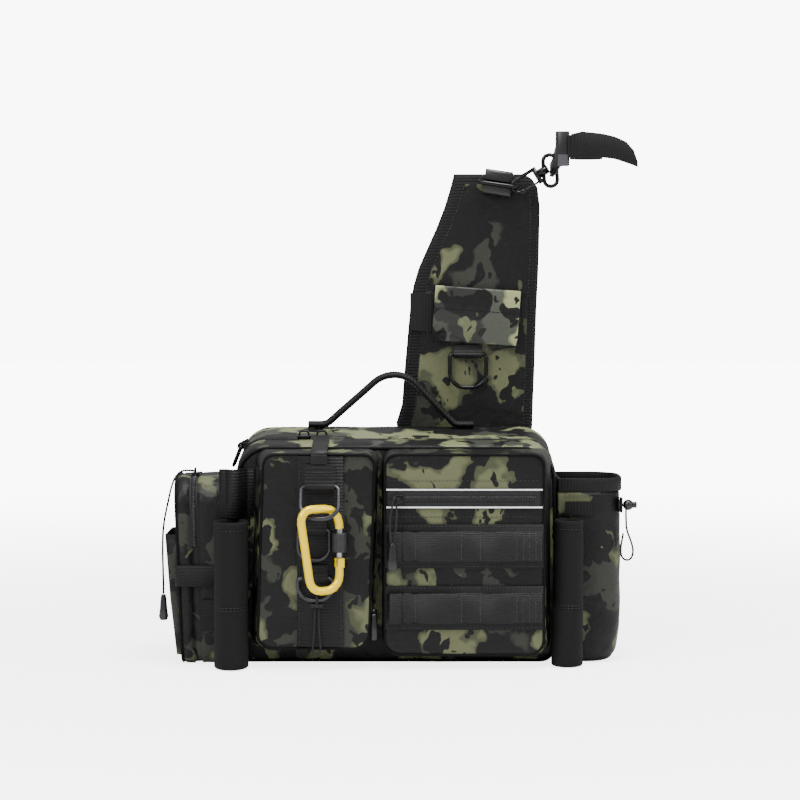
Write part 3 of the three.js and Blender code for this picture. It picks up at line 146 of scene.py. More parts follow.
# Cords: braided polyester pulls on the zips, the loop on the lowest ring and the bottle pocket's drawcord.
# Each is a round section on a smooth curve; the braid is a fine pattern in the section's own coordinates.
# The braid's bands break up the light and keep the cord dull.
cord_finish, tree, shader = blank("braided_polyester", "#0a0a0b", 0.8)
along = node(tree, "UVMap")["UV"]
plait = node(
    tree, "TexWave", {"Vector": along, "Scale": 1.0, "Distortion": 0.0},
    wave_type="BANDS", bands_direction="DIAGONAL",
)
tree.links.new(bump(tree, plait["Fac"], 0.5, 0.0003), shader.inputs["Normal"])


def smooth_curve(points, per_span=8):
    """A Catmull-Rom curve through the points: each span blends its two ends and their slopes by cubic weights."""
    p = np.asarray(points, float)
    p = np.vstack([2 * p[0] - p[1], p, 2 * p[-1] - p[-2]])
    out = []
    for a, b, c, d in zip(p[:-3], p[1:-2], p[2:-1], p[3:]):
        t = np.linspace(0, 1, per_span, endpoint=False)[:, None]
        square, cube = 2 * a - 5 * b + 4 * c - d, 3 * b - a - 3 * c + d
        out.append(0.5 * (2 * b + (c - a) * t + square * t ** 2 + cube * t ** 3))
    return np.vstack(out + [p[-2:-1]])


def run_along(path):
    """The length walked from the first point of a path to each of its points."""
    return np.concatenate([[0], np.cumsum(np.linalg.norm(np.diff(path, axis=0), axis=1))])


def at_run(path, run, at):
    """A path's points at lengths walked along it."""
    return np.stack([np.interp(at, run, path[:, k]) for k in range(3)], -1)


def skin(rows, sides, closed=False):
    """Faces round a stack of rings of equal count: a four-sided face between each two neighbours on each two
    rings, and an end face on the first and last ring unless the stack closes on itself."""
    faces = []
    for i in range(rows if closed else rows - 1):
        here, there = i * sides, (i + 1) % rows * sides
        faces += [[here + j, here + (j + 1) % sides, there + (j + 1) % sides, there + j] for j in range(sides)]
    if not closed:
        faces += [list(range(sides))[::-1], list(range((rows - 1) * sides, rows * sides))]
    return faces


def tube(name, path, radius, material, closed=False, sides=14, flat=1.0):
    """A round rod along a path in millimetres: a circle set square to the path at each point, its frame
    carried on from point to point without twist. flat thins or widens it along the second direction."""
    path = np.asarray(path, float)
    ahead = np.roll(path, -1, 0) - np.roll(path, 1, 0)
    if not closed:
        ahead[0], ahead[-1] = path[1] - path[0], path[-1] - path[-2]
    ahead /= np.linalg.norm(ahead, axis=1)[:, None]
    side = np.cross(ahead[0], [0.0, 1.0, 0.02])
    rings, turns = [], np.arange(sides) * 2 * math.pi / sides
    run = run_along(path)
    for point, way in zip(path, ahead):
        side = side - way * side.dot(way)
        side /= np.linalg.norm(side)
        up = np.cross(way, side)
        rings.append(point + radius * (np.cos(turns)[:, None] * side + flat * np.sin(turns)[:, None] * up))
    obj = mesh_of(name, np.vstack(rings), skin(len(path), sides, closed), material)
    layer = obj.data.uv_layers.new(name="along")
    plait_length, plaits_round = radius * 1.6, 4
    for polygon in obj.data.polygons:
        for loop in polygon.loop_indices:
            i, j = divmod(obj.data.loops[loop].vertex_index, sides)
            layer.data[loop].uv = (run[i] / plait_length, plaits_round * j / sides)
    return obj


def put(obj, slot, *stands_for, body="bag"):
    """Sets a piece's body, and hides the plain pieces that it stands for. slot is not used."""
    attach(obj, body)
    if stands_for:
        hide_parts(*stands_for)
    return obj


def dress(name, material, bevel=0.0004, swell=0.0):
    """A plain piece keeps its modelled shape, and takes a finish, small rounds on its edges and a fuller section."""
    obj = nodes[name]
    obj.data.materials.clear()
    obj.data.materials.append(material)
    obj.data.polygons.foreach_set("use_smooth", [True] * len(obj.data.polygons))
    obj.modifiers.new("joined", "WELD").merge_threshold = 0.00002
    if swell:
        fuller = obj.modifiers.new("fuller", "DISPLACE")
        fuller.strength = swell
        fuller.mid_level = 0
    if bevel:
        edge = obj.modifiers.new("edge", "BEVEL")
        edge.width = bevel
        edge.segments = 2
        edge.limit_method = "ANGLE"
        edge.angle_limit = math.radians(32)
        edge.harden_normals = True
    return obj


# Moulded rubber: a soft, even shine.
rubber, _, _ = blank("moulded_rubber", "#0d0d0e", 0.3)
lock_y = -38.5
pull_y = -30
cord_routes = {
    "slash_pull_cord": (0.9, [
        (-4.6, -104.6, 119.4), (-5, -104.5, 127), (-5.2, -104.3, 135), (-4.8, -104.1, 143), (-3.8, -103.9, 150),
        (-2.6, -103.6, 156), (-1.6, -103.2, 160), (-0.8, -101.2, 162), (-0.2, -99, 160.6), (0.2, -98.5, 157.4),
        (0.6, -99.4, 153.4), (1, -101.4, 149.2), (1, -103, 144), (0.4, -104, 136), (-0.4, -104.5, 127),
        (-1.4, -104.6, 119.4),
    ]),
    "ring_cord": (0.9, [
        (-75, -98.4, 58.5), (-75.1, -98.3, 52), (-75.3, -98.1, 45), (-75.6, -97.9, 38), (-76.1, -97.6, 31),
        (-76.7, -97.4, 25), (-77, -97.2, 20), (-75.9, -97.1, 16.4), (-73.2, -97.1, 14.9), (-70.7, -97.1, 16.6),
        (-69.8, -97.2, 20.4), (-70.2, -97.4, 26), (-70.8, -97.6, 33), (-71.2, -97.9, 41), (-71.4, -98.2, 50),
        (-71.4, -98.4, 58.5),
    ]),
    "pouch_pull_cord": (1.0, [(x, pull_y, z) for x, z in (
        (-190.4, 180.9), (-195, 181), (-200, 181.2), (-205, 180), (-209.4, 176), (-212.6, 170), (-215, 162),
        (-217, 153), (-219, 144), (-220.8, 135), (-222, 126), (-222.6, 117), (-222.8, 108), (-222.8, 99),
        (-222.6, 90), (-222.4, 81), (-222.2, 72), (-222.2, 63),
    )]),
    "drawcord": (1.0, [(x, lock_y, z) for x, z in (
        (219, 147.6), (219, 143), (219, 138), (219.2, 133), (219.4, 128), (220.6, 123), (222.8, 117),
        (224.8, 111), (225.8, 105), (224.8, 99.6), (221.8, 96.6), (218, 96.8), (215.2, 99.8), (214.2, 105),
        (214.6, 111), (215.6, 117), (216.4, 122),
    )]),
}
cord_tails = {
    "slash_pull_cord": ("slash_pull_end", "fitting"), "ring_cord": ("ring_cord_knot", "knot"),
    "pouch_pull_cord": ("pouch_pull_end", "fitting"), "drawcord": (None, "bare"),
}
for tail in ("slash_pull_end", "pouch_pull_end"):
    dress(tail, rubber, 0.0008)
dress("ring_cord_knot", cord_finish, 0.0006)
for name, (radius, route) in cord_routes.items():
    path = smooth_curve(route)
    piece = put(tube(name + "_braid", path, radius, cord_finish), "cord", name)
    length = float(np.linalg.norm(np.diff(path, axis=0), axis=1).sum()) / 1000
    tail, far_end = cord_tails[name]

# Main compartment: printed coated cloth over foam, a lofted soft box open along its top for the zip.
# Black piping is sewn into its front and back seams.


def camo(name, shift, olive=0.555, bright=1.0, rough=0.5, sparse=None, ground="#0b0b0b"):
    """Printed cloth: soft grey-green clouds with dark holes, then hard-edged olive blobs that lighten inwards,
    with dark blots and strokes on top. Each layer is a noise field cut at a level. sparse (low, high, amount)
    thins the clouds and the olive with height. The creases tilt its weak shine."""
    material, tree, shader = blank(name, "#303131", rough)
    shader.inputs["Specular IOR Level"].default_value = 0.22
    spot = node(tree, "TexCoord")["Object"]
    moved = node(tree, "VectorMath", {0: spot, 1: shift}, operation="ADD")[0]
    warp = noise(tree, moved, 45.0)["Color"]
    warped = {0: warp, 1: (0.03, 0.03, 0.03), 2: moved}
    place = node(tree, "VectorMath", warped, operation="MULTIPLY_ADD")[0]
    if sparse:
        up = node(tree, "SeparateXYZ", {0: spot})["Z"]
        fade = {"Value": up, "From Min": sparse[0], "From Max": sparse[1], "To Max": sparse[2]}
        thinner = node(tree, "MapRange", fade)[0]
    colour = linear(ground)
    # Colour, cells per metre, level, softness of the edge, stretch, place in the noise, thinned with height.
    for code, scale, level, soft, stretch, offset, thins in (
        ("#2b2d27", 15, 0.51, 0.015, (1, 1, 1), 0.0, True),
        ("#0a0a0a", 26, 0.57, 0.004, (1, 1, 1), 7.7, False),
        ("#3f422f", 23, olive, 0.004, (1, 1, 0.8), 1.7, True),
        ("#595c42", 23, olive + 0.035, 0.02, (1, 1, 0.8), 1.7, True),
        ("#0b0b0b", 44, 0.585, 0.004, (1, 1, 0.7), 3.1, False),
        ("#0b0b0c", 100, 0.66, 0.006, (1, 1, 0.45), 5.3, False),
    ):
        stretched = {0: place, 1: stretch, 2: (offset, offset * 0.7, -offset)}
        sample = node(tree, "VectorMath", stretched, operation="MULTIPLY_ADD")[0]
        cloud = noise(tree, sample, scale, 1.2, 0.45)["Fac"]
        if sparse and thins:
            cloud = node(tree, "Math", {0: cloud, 1: thinner}, operation="SUBTRACT")[0]
        edge = {"Value": cloud, "From Min": level - soft, "From Max": level + soft}
        cut = node(tree, "MapRange", edge, interpolation_type="SMOOTHSTEP")[0]
        # bright scales the inks; where it is raised, on the body and the flap, it is painted light.
        ink = [c * bright for c in linear(code)[:3]] + [1]
        colour = node(tree, "Mix", {0: cut, 6: colour, 7: ink}, data_type="RGBA")[2]
    tree.links.new(colour, shader.inputs["Base Color"])
    crease = noise(tree, place, 38.0, 3.0)["Fac"]
    weave = noise(tree, place, 1100.0, 1.0)["Fac"]
    creased = bump(tree, crease, 0.45, 0.006)
    tree.links.new(bump(tree, weave, 0.25, 0.0004, creased), shader.inputs["Normal"])
    return material


def even_steps(path, count):
    """Points at even steps along a flat path that ends where it starts, as two columns."""
    run = np.concatenate([[0], np.cumsum(np.hypot(*np.diff(path, axis=0).T))])
    at = np.linspace(0, run[-1], count, endpoint=False)
    return np.interp(at, run, path[:, 0]), np.interp(at, run, path[:, 1])


def soft_outline(left, right, bottom, top, low, high, swell=0.0, count=200):
    """A rectangle with round corners of radius low at its foot and high at its top, walked at even steps from
    the middle of its foot; its sides swell by a half sine."""
    corners = [
        (right - low, bottom + low, low, -90), (right - high, top - high, high, 0),
        (left + high, top - high, high, 90), (left + low, bottom + low, low, 180),
    ]
    path = []
    for x, z, radius, first in corners:
        turn = np.radians(first + np.linspace(0, 90, 13))
        path += list(zip(x + radius * np.cos(turn), z + radius * np.sin(turn)))
    middle = (left + right) / 2
    u, v = even_steps(np.array([(middle, bottom)] + path + [(middle, bottom)]), count)
    side = np.clip((u - middle) / ((right - left) / 2), -1, 1)
    return np.stack([u + side * swell * np.sin(math.pi * (v - bottom) / (top - bottom)), v], 1)


def wrinkle(points, size, seed):
    """Smooth random heights in millimetres at points: nine sine waves of wavelengths 25 to 90 mm, their sum
    divided by three."""
    rng = np.random.default_rng(seed)
    total = np.zeros(len(points))
    for _ in range(9):
        way = rng.normal(size=3)
        way *= 2 * math.pi / rng.uniform(25, 90) / np.linalg.norm(way)
        total += np.sin(points @ way + rng.uniform(0, 6.3))
    return total / 3 * size


def read_points(obj):
    """A mesh's vertices in metres, one row each."""
    flat = np.zeros(len(obj.data.vertices) * 3)
    obj.data.vertices.foreach_get("co", flat)
    return flat.reshape(-1, 3)


def write_points(obj, points):
    """Moves a mesh's vertices to new places in metres."""
    obj.data.vertices.foreach_set("co", points.ravel())
    obj.data.update()


def rounded_stack(name, rings, materials, bulge=0, cap_steps=14, seed=1, rough=0.7):
    """Skins rings of equal count, and fills both ends with rings that shrink to the middle; the last end
    stands out by bulge times one less the fourth power of a ring's share. Small folds, rough in size, move
    the points along their normals, and none goes below the floor."""
    rings = [np.asarray(r, float) for r in rings]
    out = rings[-1].mean(0) - rings[-2].mean(0)
    out /= np.linalg.norm(out)
    first = rings[0].mean(0) - rings[1].mean(0)
    first /= np.linalg.norm(first)
    caps = []
    for ring, way, stands_out in ((rings[0], first, 0), (rings[-1], out, bulge)):
        middle = ring.mean(0)
        shares = np.linspace(1, 0.02, cap_steps)[1:]
        caps.append([middle + (ring - middle) * s + way * stands_out * (1 - s ** 4) for s in shares])
    rings = caps[0][::-1] + rings + caps[1]
    points = np.vstack(rings)
    obj = mesh_of(name, points, skin(len(rings), len(rings[0])), *materials)
    normals = np.zeros(len(points) * 3)
    obj.data.vertices.foreach_get("normal", normals)
    points = points + normals.reshape(-1, 3) * wrinkle(points, rough, seed)[:, None]
    points[:, 2] = np.maximum(points[:, 2], 0)
    write_points(obj, points / 1000)
    return obj


# Printed coated cloth: charcoal with olive blobs. On the body its inks are drawn brighter, a painted light for its
# upward-facing top.
body_cloth_painted_light = camo("printed_cloth_body_painted_light", (0.31, 0.12, 0.42), olive=0.54, bright=1.5)
# Piping: so dull that it reads as a black line.
piping, _, shader = blank("black_piping", "#050506", 0.7)
shader.inputs["Specular IOR Level"].default_value = 0.12
# Polyester zip tape: flat black.
tape, _, _ = blank("zip_tape", "#070708", 0.8)
half_wide, half_deep, tall, top_fall = 150, 52.5, 219, 13
foot_bend, top_bend, side_swell = 12, 27, 3
depth_rows = [(52.5, 5), (51.6, 2.6), (49.6, 0.8), (46.8, 0)]


def bag_top(y):
    """The height of the main compartment's top, which falls evenly from its back to its front."""
    return tall - top_fall * (half_deep - y) / (2 * half_deep)


def body_outline(y, tuck):
    """The main compartment's section at a depth, drawn in by tuck on all sides."""
    flat = soft_outline(
        -half_wide + tuck, half_wide - tuck, tuck, bag_top(y) - tuck, foot_bend, top_bend, side_swell, 320,
    )
    return [(u, y, v) for u, v in flat]


zip_rows = [(-12, 1.2), (-19, 1.2), (-19.6, 0)]
rings = [
    body_outline(y, tuck)
    for y, tuck in depth_rows + [(y, 0) for y in (38, 20, 0, -8, -11.4)]
    + zip_rows + [(-27, 0), (-38, 0)] + [(-a, b) for a, b in depth_rows[::-1]]
]
main = rounded_stack("main_compartment", rings, (body_cloth_painted_light, tape), 0, 10, 3, 0.5)
put(main, "camo_cloth", "main_body")
piping_y, piping_tuck = 51.9, 2.4


def pipe(name, line, radius):
    """A round of piping."""
    put(tube(name, line, radius, piping, closed=True, sides=10), "webbing")


for y, name in ((piping_y, "back"), (-piping_y, "front")):
    pipe("main_piping_" + name, body_outline(y, piping_tuck), 1.5)


def shifted(faces, base):
    """The same faces for points that start at base."""
    return [[base + k for k in face] for face in faces]


def coil(name, path, out, material, pitch=1.5, wide=4.2, high=1.1):
    """A closed zip's coil: short bars set across the path at even pitch, each a flattened six-sided loop."""
    path = np.asarray(path, float)
    run = run_along(path)
    at = np.arange(pitch, run[-1] - pitch, pitch)
    mid = at_run(path, run, at)
    way = np.gradient(mid, axis=0)
    way /= np.linalg.norm(way, axis=1)[:, None]
    out = np.broadcast_to(np.asarray(out, float), mid.shape)
    side = np.cross(way, out)
    points, faces = [], []
    for m, w, o, s in zip(mid, way, out, side):
        faces += shifted(skin(2, 6), len(points))
        for end in (-1, 1):
            for a in range(6):
                turn = a * math.pi / 3
                reach = s * end * wide / 2 * (0.8 if a % 2 else 1)
                points.append(m + reach + w * 0.5 * math.cos(turn) + o * high / 2 * math.sin(turn))
    return mesh_of(name, points, faces, material)


# Zips: nylon coils on black tape, let into the slots of the body, the pouch and the right pocket.
# The sliders are black enamelled castings.
# Nylon: a little shine on each bar makes a fine dotted line.
nylon, _, _ = blank("nylon_coil", "#1b1b1d", 0.32)
# Black enamel on metal: small sharp glints.
enamel, _, _ = blank("black_enamel", "#101113", 0.28, 0.6)
zip_y, zip_foot = -15.5, 121
top_line = soft_outline(-half_wide, half_wide, 0, bag_top(zip_y), foot_bend, top_bend, side_swell, 700)
top_line = [p for p in top_line if p[1] > zip_foot]
top_line.sort(key=lambda p: math.atan2(p[1] - 100, p[0]), reverse=True)
top_path = np.array([(u, zip_y, v) for u, v in top_line])


def facing_out(path, across, centre):
    """The direction square to a path and to a zip's width at each point, turned away from a centre."""
    out = np.cross(np.gradient(path, axis=0), across)
    out *= np.sign((out * (path - centre)).sum(1))[:, None]
    return out / np.linalg.norm(out, axis=1)[:, None]


def strip(name, path, out, side, wide, material, lift=0.0, thick=0.8):
    """A flat band along a path: four edges per point, set off by its half width to both sides and by its
    thickness."""
    path, out, side = (np.broadcast_to(np.asarray(a, float), np.shape(path)) for a in (path, out, side))
    edges = ((-1, 0), (1, 0), (1, thick), (-1, thick))
    corners = [path + side * wide / 2 * s + out * (lift + t) for s, t in edges]
    faces = skin(len(path), 4)
    obj = mesh_of(name, np.stack(corners, 1).reshape(-1, 3), faces, material)
    obj.data.polygons.foreach_set("use_smooth", [False] * len(faces))
    return obj


facing = facing_out(top_path, [0, 1, 0], [0, zip_y, 110])
tape_wide, tape_sunk, tape_thick = 7.6, -1.0, 0.7
main_tape = strip("main_zip_tape", top_path, facing, [0, 1, 0], tape_wide, tape, tape_sunk, tape_thick)
put(main_tape, "zip_tape", "main_zipper")
put(coil("main_zip_coil", top_path + facing * 0.1, facing[len(facing) // 2], nylon, 2.0), "zip_tape")
for name in ("main_slider_left", "main_slider_right", "slash_slider", "pouch_slider"):
    dress(name, enamel, 0.0005)

# Front pockets: flat panels of the printed cloth on a gusset that widens to the back, edged with black piping.
# Each is a lofted stack of its outline. The face is kept level, and lower in the slash zip's slot.
# The same cloth, with the print set elsewhere and less olive.
left_cloth = camo("printed_cloth_left_pocket", (0.93, 0.4, 0.17), olive=0.572)
right_cloth = camo("printed_cloth_right_pocket", (0.52, 0.9, 0.71), olive=0.585)
# Left, right, foot, top, how much wider each side is at the back, the top's lean, the cloth, the folds' seed.
pockets = {
    "left": (-123.6, -18.6, 19, 201, 8, 2.5, 6, left_cloth, 11),
    "right": (-10.6, 138.4, 13, 201, 2.5, 8, 0, right_cloth, 23),
}
# Depth, share of the way from the back to the face, and how far the outline is drawn in.
pocket_rows = (
    (-52.8, 0, 0), (-60, 0.18, 0), (-70, 0.42, 0), (-80, 0.64, 0), (-87, 0.8, 0), (-89.6, 0.88, 0.3),
    (-91.4, 0.95, 1.0), (-92.4, 1, 2.2),
)
pocket_flare, pocket_foot_bend, pocket_top_bend = 2.5, 14, 11
slash_z, slot_half, slot_from = 0.1595, 0.0125, -0.0915
face_y, slot_y = -0.0929, -0.0921
for side, (left, right, foot, top, flare_left, flare_right, lean, cloth, seed) in pockets.items():
    rings = []
    for y, share, tuck in pocket_rows:
        outline = soft_outline(
            left - flare_left * (1 - share) + tuck, right + flare_right * (1 - share) - tuck,
            foot - pocket_flare * (1 - share) + tuck, top + pocket_flare * (1 - share) - tuck,
            pocket_foot_bend, pocket_top_bend, 0, 260,
        )
        rings.append([(u - lean * (top - v) / (top - foot), y, v) for u, v in outline])
    panel = rounded_stack(side + "_front_pocket", rings, (cloth,), 0.5, 26, seed, 0.42)
    flat = read_points(panel)
    slash = (np.abs(flat[:, 2] - slash_z) < slot_half) & (flat[:, 1] < slot_from) & (side == "right")
    flat[:, 1] = np.where(slash, np.maximum(flat[:, 1], slot_y), np.maximum(flat[:, 1], face_y))
    write_points(panel, flat)
    put(panel, "camo_cloth", side + "_pocket")
    outline = soft_outline(
        left + 0.6, right - 0.6, foot + 0.6, top - 0.6, pocket_foot_bend, pocket_top_bend, 0, 260,
    )
    line = [(u - lean * (top - v) / (top - foot), -92.1, v) for u, v in outline]
    pipe(side + "_pocket_piping", line, 1.3)


def stitches(name, path, out, material, stitch=2.6, gap=1.2, wide=0.55):
    """A lockstitch seam: short thread capsules laid end to end with gaps, each sunk at its ends."""
    path = np.asarray(path, float)
    run = run_along(path)
    starts = np.arange(gap, run[-1] - stitch, stitch + gap)
    points, faces = [], []
    out = np.asarray(out, float)
    for start in starts:
        ends = [at_run(path, run, start + s) for s in (0, stitch / 2, stitch)]
        way = ends[2] - ends[0]
        way /= np.linalg.norm(way)
        across = np.cross(way, out)
        faces += shifted(skin(3, 3), len(points))
        for at, lift, half in zip(ends, (-0.1, 0.22, -0.1), (0.5, 1, 0.5)):
            foot = at + out * (lift - 0.2)
            points += [foot - across * wide / 2 * half, at + out * (lift + 0.15), foot + across * wide / 2 * half]
    return mesh_of(name, points, faces, material)


# Polyester thread: a little lighter than the webbing, so that the seams show.
thread, _, _ = blank("polyester_thread", "#2b2c2e", 0.5)
front = (0, -1, 0)


def sew(name, path, *sizes, material=thread):
    """A seam that faces the front."""
    put(stitches(name, path, front, material, *sizes), "webbing")


def band(name, path, wide, material, lift, thick):
    """A flat band on the front, its width upright."""
    put(strip(name, path, front, (0, 0, 1), wide, material, lift, thick), "webbing")


# The slash zip on the right pocket: tape with a coil, a white reflective line above and below it,
# and a seam on each side.
# Reflective tape: the brightest lines on the bag.
reflective, _, _ = blank("reflective_tape", "#e9ebec", 0.35)
slash_up = 159.5
slash_path = [(-7, -93.0, slash_up), (60, -93.0, slash_up), (134, -93.0, slash_up)]
slash_tape = strip("slash_tape", slash_path, front, (0, 0, 1), 15.5, tape, 0.0, 0.5)
put(slash_tape, "zip_tape", "slash_zipper")
slash_coil = coil("slash_coil", [(-4, -93.9, slash_up), (132, -93.9, slash_up)], front, nylon, 1.5, 5.0, 1.3)
put(slash_coil, "zip_tape")
for level, beyond, name in ((168.0, 8.2, "upper"), (151.6, -9, "lower")):
    path = [(-8.6, -93.0, level), (60, -93.4, level), (136.4, -93.0, level)]
    band("reflective_line_" + name, path, 1.4, reflective, 0.1, 0.4)
    sew("slash_seam_" + name, [(-8, -93.2, level + beyond), (136, -93.2, level + beyond)])


def woven(name, colour, rough, axis, rib=3.0):
    """Nylon webbing: raised ribs of rib mm with a fine fuzz, their crowns painted lighter and their grooves painted
    darker, a painted highlight and shade, for a dull lined look. Real ribs are about 1.5 mm wide, and most are drawn
    at 3 mm here so that they show."""
    material, tree, shader = blank(name, colour, rough)
    place = node(tree, "TexCoord")["Object"]
    ribs = {"Vector": place, "Scale": 314.16 / rib, "Distortion": 0.6, "Detail": 1.0}
    rib_wave = node(tree, "TexWave", ribs, wave_type="BANDS", bands_direction=axis)["Fac"]
    fuzz = noise(tree, place, 900.0)["Fac"]
    ribbed = bump(tree, rib_wave, 0.55, 0.0005)
    tree.links.new(bump(tree, fuzz, 0.2, 0.0004, ribbed), shader.inputs["Normal"])
    # Painted highlight and shade: the colour is scaled up on the ribs' crowns and down in their grooves.
    painted_rib_shade = node(tree, "MapRange", {"Value": rib_wave, "To Min": 0.75, "To Max": 1.25})[0]
    mixed = node(tree, "VectorMath", {0: linear(colour)[:3], 3: painted_rib_shade}, operation="SCALE")[0]
    tree.links.new(mixed, shader.inputs["Base Color"])
    shader.inputs["Specular IOR Level"].default_value = 0.25
    return material


# Ring ladder: wide black webbing sewn down the left pocket, with folded tabs that hold three D rings of bent
# wire. Each tab is closed by three bartacks, short dense rows of stitches.
web_up = woven("webbing_upright", "#08080a", 0.6, "Z")
web_across = woven("webbing_across", "#080809", 0.62, "X")
for name in ("ladder_webbing", "ring_tab_upper", "ring_tab_middle", "ring_tab_lower"):
    dress(name, web_up)
for x in (-89.4, -50.8):
    sew("ladder_seam_%d" % abs(x), [(x, -95.0, 24), (x, -95.0, 197)])
for level, low, high, x, half in (
    (171, 9, 18, -70.1, 12.5), (131, 6, 14, -76.1, 10.5), (86, 5, 10.5, -74.6, 10.5),
):
    for i, step in enumerate(np.linspace(low, high, 3)):
        path = [(x - half, -98.95, level + step), (x + half, -98.95, level + step)]
        sew("tab_bartack_%d_%d" % (level, i), path, 1.6, 0.5, 0.7)
# Lacquered steel wire: glossy, with long thin highlights.
grey_steel, _, _ = blank("lacquered_wire_grey", "#3f4043", 0.3, 0.8)
black_steel, _, _ = blank("lacquered_wire_black", "#141517", 0.22, 0.6)


def rounded(corners, step=8):
    """Corners (across, up, radius) joined by straights, each corner an arc of its radius tangent to both."""
    path = []
    for i, (u, v, radius) in enumerate(corners):
        here = np.array([u, v], float)
        if radius == 0:
            path.append(here)
            continue
        back = np.array(corners[i - 1][:2], float) - here
        on = np.array(corners[(i + 1) % len(corners)][:2], float) - here
        back, on = back / np.linalg.norm(back), on / np.linalg.norm(on)
        opening = math.acos(np.clip(back @ on, -1, 1))
        bisector = (back + on) / np.linalg.norm(back + on)
        centre = here + bisector * radius / math.sin(opening / 2)
        x, z = here + back * radius / math.tan(opening / 2) - centre
        turn = -(math.pi - opening) * math.copysign(1, back[0] * on[1] - back[1] * on[0])
        for a in np.linspace(0, turn, max(3, int(abs(turn) / math.radians(step)))):
            path.append(centre + [x * math.cos(a) - z * math.sin(a), x * math.sin(a) + z * math.cos(a)])
    return np.array(path)


def turned(path, tilt_x=0, turn_z=0, seat=(0, 0, 0)):
    """A path (across, up) stood in X and Z, turned about X and then about Z, and moved to its seat."""
    p = np.array([(u, 0, v) for u, v in path], float)
    c, s = math.cos(math.radians(tilt_x)), math.sin(math.radians(tilt_x))
    p = p @ np.array([[1, 0, 0], [0, c, -s], [0, s, c]]).T
    c, s = math.cos(math.radians(turn_z)), math.sin(math.radians(turn_z))
    p = p @ np.array([[c, -s, 0], [s, c, 0], [0, 0, 1]]).T
    return p + np.array(seat, float)


def ring_path(width, length, wire):
    """A D ring's centre line: a straight bar on top with tight corners, and a wide bend below."""
    half, drop = (width - wire) / 2, length - wire
    bend = min(half * 0.85, drop * 0.8)
    return rounded([(half, -drop, bend), (half, 0, wire), (-half, 0, wire), (-half, -drop, bend)])


web_face, web_thick = -95.2, 2.1
for name, width, length, wire, tilt, x, level in (
    ("ring_upper", 39, 37, 4, 32, -70.1, 171), ("ring_middle", 32, 31, 2.6, 0, -76.1, 131),
    ("ring_lower", 36, 24, 3.4, 0, -74.6, 86),
):
    path = turned(ring_path(width, length, wire), -tilt, seat=(x, web_face - wire / 2 - web_thick, level))
    put(tube(name + "_wire", path, wire / 2, grey_steel, closed=True, sides=18), "ring_metal", name)

# Carabiner: yellow anodised bent rod hung through the upper ring. Its steel gate turns on a rivet and
# carries a knurled screw sleeve.
# Anodised aluminium: strong colour with soft, pale highlights.
anodised, _, _ = blank("yellow_anodised", "#f0cb00", 0.3, 0.2)
# Brushed steel: a wide, blurred shine.
brushed, _, _ = blank("brushed_steel", "#9b9c9e", 0.35, 0.9)
dress("carabiner", anodised, 0.0005)
dress("carabiner_gate", brushed, 0.0003)
# Black metal: its ridges catch the light in fine upright lines.
knurl, _, _ = blank("knurled_black", "#303032", 0.4, 0.5)
gate_x, gate_y, sleeve_foot = -51.97, -103.53, 102.4 + 8.6
profile = [(3.1, 0), (6.2, 0), (6.9, 0.9)] + [(6.9, z) for z in np.linspace(1.5, 16.5, 31)]
profile += [(6.9, 17.1), (6.2, 18), (3.1, 18)]
around, ridges, ridge_deep = 72, 18, 0.45
sleeve_points = []
for row, (radius, z) in enumerate(profile):
    for k in range(around):
        a = k * 2 * math.pi / around
        grip = ridge_deep * (0.5 + 0.5 * math.cos(ridges * a)) * (1 if 3 <= row < 34 else 0)
        x, y = gate_x + (radius - grip) * math.cos(a), gate_y + (radius - grip) * math.sin(a)
        sleeve_points.append((x, y, sleeve_foot + z))
screw_sleeve = mesh_of("screw_sleeve", sleeve_points, skin(len(profile), around, closed=True), knurl)
put(screw_sleeve, "sleeve_metal", "carabiner_sleeve", body="gate_sleeve")

# Webbing rows on the right pocket: a black backing band with a narrower strip over it, sewn down in
# dense vertical rows so that it stands off between them.
# The loops' webbing is drawn a little lighter than the band behind them, a painted sheen on their raised faces.
web_loops_painted_sheen = woven("webbing_loops_painted_sheen", "#0f0f10", 0.45, "Z", 1.6)
row_left, row_wide = -9.6, 147
tack_shares = (0.012, 0.12, 0.19, 0.48, 0.6, 0.83, 0.87, 0.91, 0.95, 0.985)
tack_half, edge_half = 13.2, 18.6
for row, level in (("upper", 115.5), ("lower", 58)):
    dress("molle_band_" + row, web_across)
    dress("molle_loops_" + row, web_loops_painted_sheen, 0.0006)
    for i, share in enumerate(tack_shares):
        x = row_left + row_wide * share
        path = [(x, -97.25, level - tack_half), (x, -97.25, level + tack_half)]
        sew("molle_bartack_%s_%d" % (row, i), path, 1.4, 0.4, 0.9)
    for edge in (-edge_half, edge_half):
        sew("molle_seam_%s_%d" % (row, edge), [(-9, -95.15, level + edge), (137, -95.15, level + edge)])

# Side pouch: a soft box of the printed cloth on the left side, its coil zip running up the front gusset and
# over the top. A slip pocket is sewn to its outer face, and black webbing turns round its front edge.
pouch_cloth = camo("printed_cloth_pouch", (0.21, 0.55, 0.36), olive=0.56)
pouch_tall, pouch_slant = 176, 7
pouch_near, pouch_back = -62, 45
